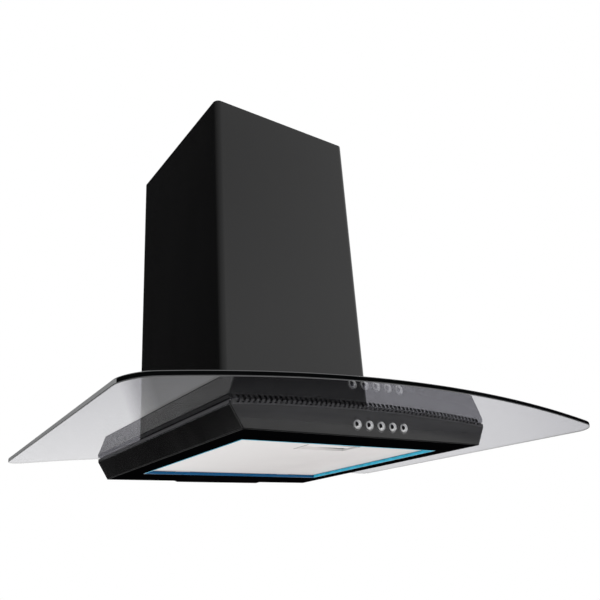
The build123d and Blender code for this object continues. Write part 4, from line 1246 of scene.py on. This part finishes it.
@dataclass
class Blower:
    """Casing, scroll, impeller, motor and their electrics."""

    def build(self, shop: Workshop) -> None:
        """Dresses the blower's nodes.

        Args:
            shop: The workshop.
        """
        shop.dress(
            Slot.ZINC, "blower_casing", "wall_bracket", "motor_bracket", "motor_shaft", "capacitor_strap", "flap_pins"
        )
        shop.dress(Slot.GREY_PLASTIC, "scroll_right", "scroll_left")
        shop.dress(Slot.MESH, "fan_impeller")
        shop.dress(Slot.MOTOR, "motor")
        shop.dress(Slot.BOARD, "capacitor")
        shop.dress(
            Slot.BLACK_PLASTIC, "junction_box", "junction_box_lid", "cable_gland", "outlet_flange", "duct_spigot",
            "flap_left", "flap_right",
        )


@dataclass
class Fasteners:
    """Pan-head screws with a round socket, on the duct flange and the junction box."""

    radius: float = 0.0032
    height: float = 0.0017
    socket: float = 0.0013
    socket_depth: float = 0.0009
    socket_lip: float = 0.0001
    crown: float = 0.0009
    flange_inset: float = 0.0065
    lid_inset: float = 0.006
    steps: int = 20

    def head(self) -> list[Span]:
        """Points of a head from the bottom of its socket to its seat.

        Returns:
            Radius and height of each point.
        """
        top, deep = self.height, self.height - self.socket_depth
        turns = [math.pi / 2 * i / 5 for i in range(2, 6)]
        crown = [(self.radius * math.sin(t), top - self.crown + self.crown * math.cos(t)) for t in turns]
        socket = [(0.0, deep), (self.socket, deep), (self.socket, top - self.socket_lip)]
        return [*socket, *crown, (self.radius, 0.0), (0.0, 0.0)]

    def row(self, shop: Workshop, name: str, places: Sequence[Point]) -> None:
        """Builds a row of screws that look up.

        Args:
            shop: The workshop.
            name: The row's name.
            places: Their seats.
        """
        bm = bmesh.new()
        for place in places:
            turned(bm, self.head(), place, Axis.Z, self.steps)
        shop.mount(piece(name, bm, [shop.finishes[Slot.ZINC]], crease=35.0), Body.CANOPY, Slot.ZINC)

    def build(self, shop: Workshop) -> None:
        """Builds both rows of screws.

        Args:
            shop: The workshop.
        """
        low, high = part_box("outlet_flange")
        across, along = ((low[i] + self.flange_inset, high[i] - self.flange_inset) for i in (0, 1))
        self.row(shop, "flange_screws", [(x, y, high.z) for x in across for y in along])
        low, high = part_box("junction_box_lid")
        middle, along = (low.x + high.x) / 2, (low.y + self.lid_inset, high.y - self.lid_inset)
        self.row(shop, "lid_screws", [(middle, y, high.z) for y in along])


@dataclass
class Chimney:
    """The two telescoping chimney covers and their fixings."""

    def build(self, shop: Workshop) -> None:
        """Dresses the covers."""
        shop.dress(Slot.ENAMEL, "lower_chimney", "upper_chimney")
        shop.dress(Slot.ZINC, "chimney_lugs", "top_bracket")


# ---------------------------------------------------------------- studio
@dataclass(frozen=True)
class SoftLamp:
    """A square lamp with a soft light, which mirrors don't show."""

    name: str
    place: Point
    size: float
    power: float
    aim: Point = (0.0, -0.2, 0.0)

    def hang(self) -> None:
        """Hangs the lamp with its face to its aim."""
        data = bpy.data.lights.new(self.name, "AREA")
        data.shape, data.size, data.energy = "SQUARE", self.size, self.power
        lamp = bpy.data.objects.new(self.name, data)
        lamp.location = self.place
        lamp.rotation_euler = (Vector(self.place) - Vector(self.aim)).to_track_quat("Z", "Y").to_euler()
        lamp.visible_glossy = False
        bpy.context.scene.collection.objects.link(lamp)


@dataclass
class Studio:
    """Camera, floor, lamps and surroundings.

    The rings are the surroundings that mirrors show, from under the horizon upwards. Each gives angles from +Y
    towards +X in degrees with the brightness there, and `rises` the heights between which one gives way to the next.
    """

    place: Point = (-0.45510, -0.86888, -0.25163)
    yaw: float = 35.171
    pitch: float = 20.936
    roll: float = -3.446
    focal_px: float = 634.91
    centre_px: Span = (285.0, 315.0)
    frame_px: float = 600.0
    sensor: float = 36.0
    floor_drop: float = 0.65
    floor_radius: float = 2.0
    floor_y: float = -0.2
    floor_fade: Span = (0.6, 1.7)
    lamps: tuple[SoftLamp, ...] = (
        SoftLamp("key", (-1.4, -2.2, 1.5), 2.2, 16.0),
        SoftLamp("fill", (1.6, -1.8, 0.4), 2.0, 8.0),
    )
    daylight: Colour = (0.82, 0.82, 0.82)
    below: Ring = (
        (-180, 0.04), (-95, 0.04), (-35, 0.02), (-11, 0.02), (6, 1.1), (23.6, 1.2), (24.0, 0.31), (33, 0.38),
        (37, 1.2), (47, 1.32), (53, 1.24), (60, 0.95), (100, 1.0), (114, 0.01), (180, 0.01),
    )
    level: Ring = (
        (-180, 0.04), (-95, 0.04), (-35, 0.02), (-11, 0.02), (6, 1.0), (166, 1.0), (178, 0.04), (180, 0.04),
    )
    above: Ring = (
        (-180, 0.8), (-150, 0.7), (-120, 0.5), (-90, 0.28), (-60, 0.08), (-35, 0.02), (-11, 0.02), (6, 1.0),
        (120, 1.0), (150, 1.0), (180, 0.8),
    )
    high: Ring = (
        (-180, 0.6), (-150, 0.5), (-120, 0.36), (-90, 0.2), (-60, 0.06), (-35, 0.02), (-11, 0.02), (6, 0.9),
        (120, 0.76), (150, 0.7), (180, 0.62),
    )
    rises: tuple[Span, Span, Span] = ((-0.06, -0.02), (0.17, 0.24), (0.35, 0.6))

    def camera(self) -> None:
        """Sets the camera at the photograph's viewpoint."""
        yaw, pitch, roll = (math.radians(a) for a in (self.yaw, self.pitch, self.roll))
        ahead = Vector((math.sin(yaw) * math.cos(pitch), math.cos(yaw) * math.cos(pitch), math.sin(pitch)))
        level = Vector((math.cos(yaw), -math.sin(yaw), 0.0))
        above = level.cross(ahead)
        right = math.cos(roll) * level + math.sin(roll) * above
        up = -math.sin(roll) * level + math.cos(roll) * above
        data = bpy.data.cameras.new("viewpoint")
        data.sensor_width = self.sensor
        data.lens = self.focal_px / self.frame_px * self.sensor
        data.shift_x = 0.5 - self.centre_px[0] / self.frame_px
        data.shift_y = self.centre_px[1] / self.frame_px - 0.5
        data.clip_start, data.clip_end = 0.01, 50.0
        camera = bpy.data.objects.new("viewpoint", data)
        bpy.context.scene.collection.objects.link(camera)
        turn = Matrix((right, up, -ahead)).transposed().to_4x4()
        camera.matrix_world = Matrix.Translation(self.place) @ turn
        bpy.context.scene.camera = camera

    def floor(self) -> None:
        """Lays a plain pale floor that fades out towards its rim."""
        bm = bmesh.new()
        bmesh.ops.create_circle(bm, cap_ends=True, segments=96, radius=self.floor_radius)
        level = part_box("canopy_shell")[0].z - self.floor_drop
        bmesh.ops.translate(bm, verts=bm.verts[:], vec=(0.0, self.floor_y, level))
        bench = Bench(bpy.data.materials.new("pale_floor"))
        bench.principled(Finish("pale_floor", (0.9, 0.9, 0.9), 0.9, specular=0.0))
        length = bench.add("ShaderNodeVectorMath", operation="LENGTH")
        bench.join(bench.place((1.0, 1.0, 0.0)), length.inputs[0])
        fade = bench.spread(length.outputs["Value"], self.floor_fade, soft=True)
        clear = bench.add("ShaderNodeBsdfTransparent")
        mixed = bench.add("ShaderNodeMixShader")
        for source, target in zip((fade, bench.shader.outputs[0], clear.outputs[0]), mixed.inputs):
            bench.join(source, target)
        piece("floor", bm, [bench.surface(mixed)], turn_out=False)

    def ring(self, bench: Bench, turn: Socket, levels: Ring) -> Socket:
        """How bright the surroundings are all the way round.

        Args:
            bench: The world's bench.
            turn: Share of a full turn from -Y.
            levels: The ring.

        Returns:
            The colour socket.
        """
        ramp = bench.add("ShaderNodeValToRGB")
        stops = ramp.color_ramp.elements
        for stop, (_, level) in zip((stops[0], stops[1]), (levels[0], levels[-1])):
            stop.color = (level, level, level, 1.0)
        for angle, level in levels[1:-1]:
            stops.new((angle + 180) / 360).color = (level, level, level, 1.0)
        bench.join(turn, ramp.inputs[0])
        return ramp.outputs[0]

    def world(self) -> None:
        """Surrounds the object with even light and, for mirrors, with the rings. The camera sees white."""
        world = bpy.data.worlds.new("studio")
        bpy.context.scene.world = world
        bench = Bench(world)
        x, y, z = bench.axes(bench.add("ShaderNodeTexCoord").outputs["Generated"])
        turn = bench.spread(bench.sums("ARCTAN2", x, y), (-math.pi, math.pi))
        rings = (self.below, self.level, self.above, self.high)
        glow, *others = [self.ring(bench, turn, levels) for levels in rings]
        for ring, rise in zip(others, self.rises):
            glow = bench.tint(bench.spread(z, rise), glow, ring)
        path = bench.add("ShaderNodeLightPath").outputs
        soft = bench.tint(path["Is Glossy Ray"], self.daylight, glow)
        seen = bench.sums("MAXIMUM", path["Is Camera Ray"], path["Is Transmission Ray"])
        background = bench.add("ShaderNodeBackground")
        bench.join(bench.tint(seen, soft, (1.0, 1.0, 1.0)), background.inputs["Color"])
        bench.surface(background)

    def build(self) -> None:
        """Sets up the whole studio."""
        self.camera()
        self.floor()
        for lamp in self.lamps:
            lamp.hang()
        self.world()
        bpy.context.scene.view_settings.view_transform = "Standard"


def main() -> None:
    """Builds the studio and every sub-assembly in order."""
    logging.basicConfig(level=logging.INFO, format="%(name)s: %(message)s")
    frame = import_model()
    Studio().build()
    shop = Workshop(frame)
    for kind in (CanopyBody, GlassCanopy, GreaseFilter, PushButtons, Lamp, Blower, Fasteners, Chimney):
        log.info("building %s", kind.__name__)
        kind().build(shop)


if __name__ == "__main__":
    main()
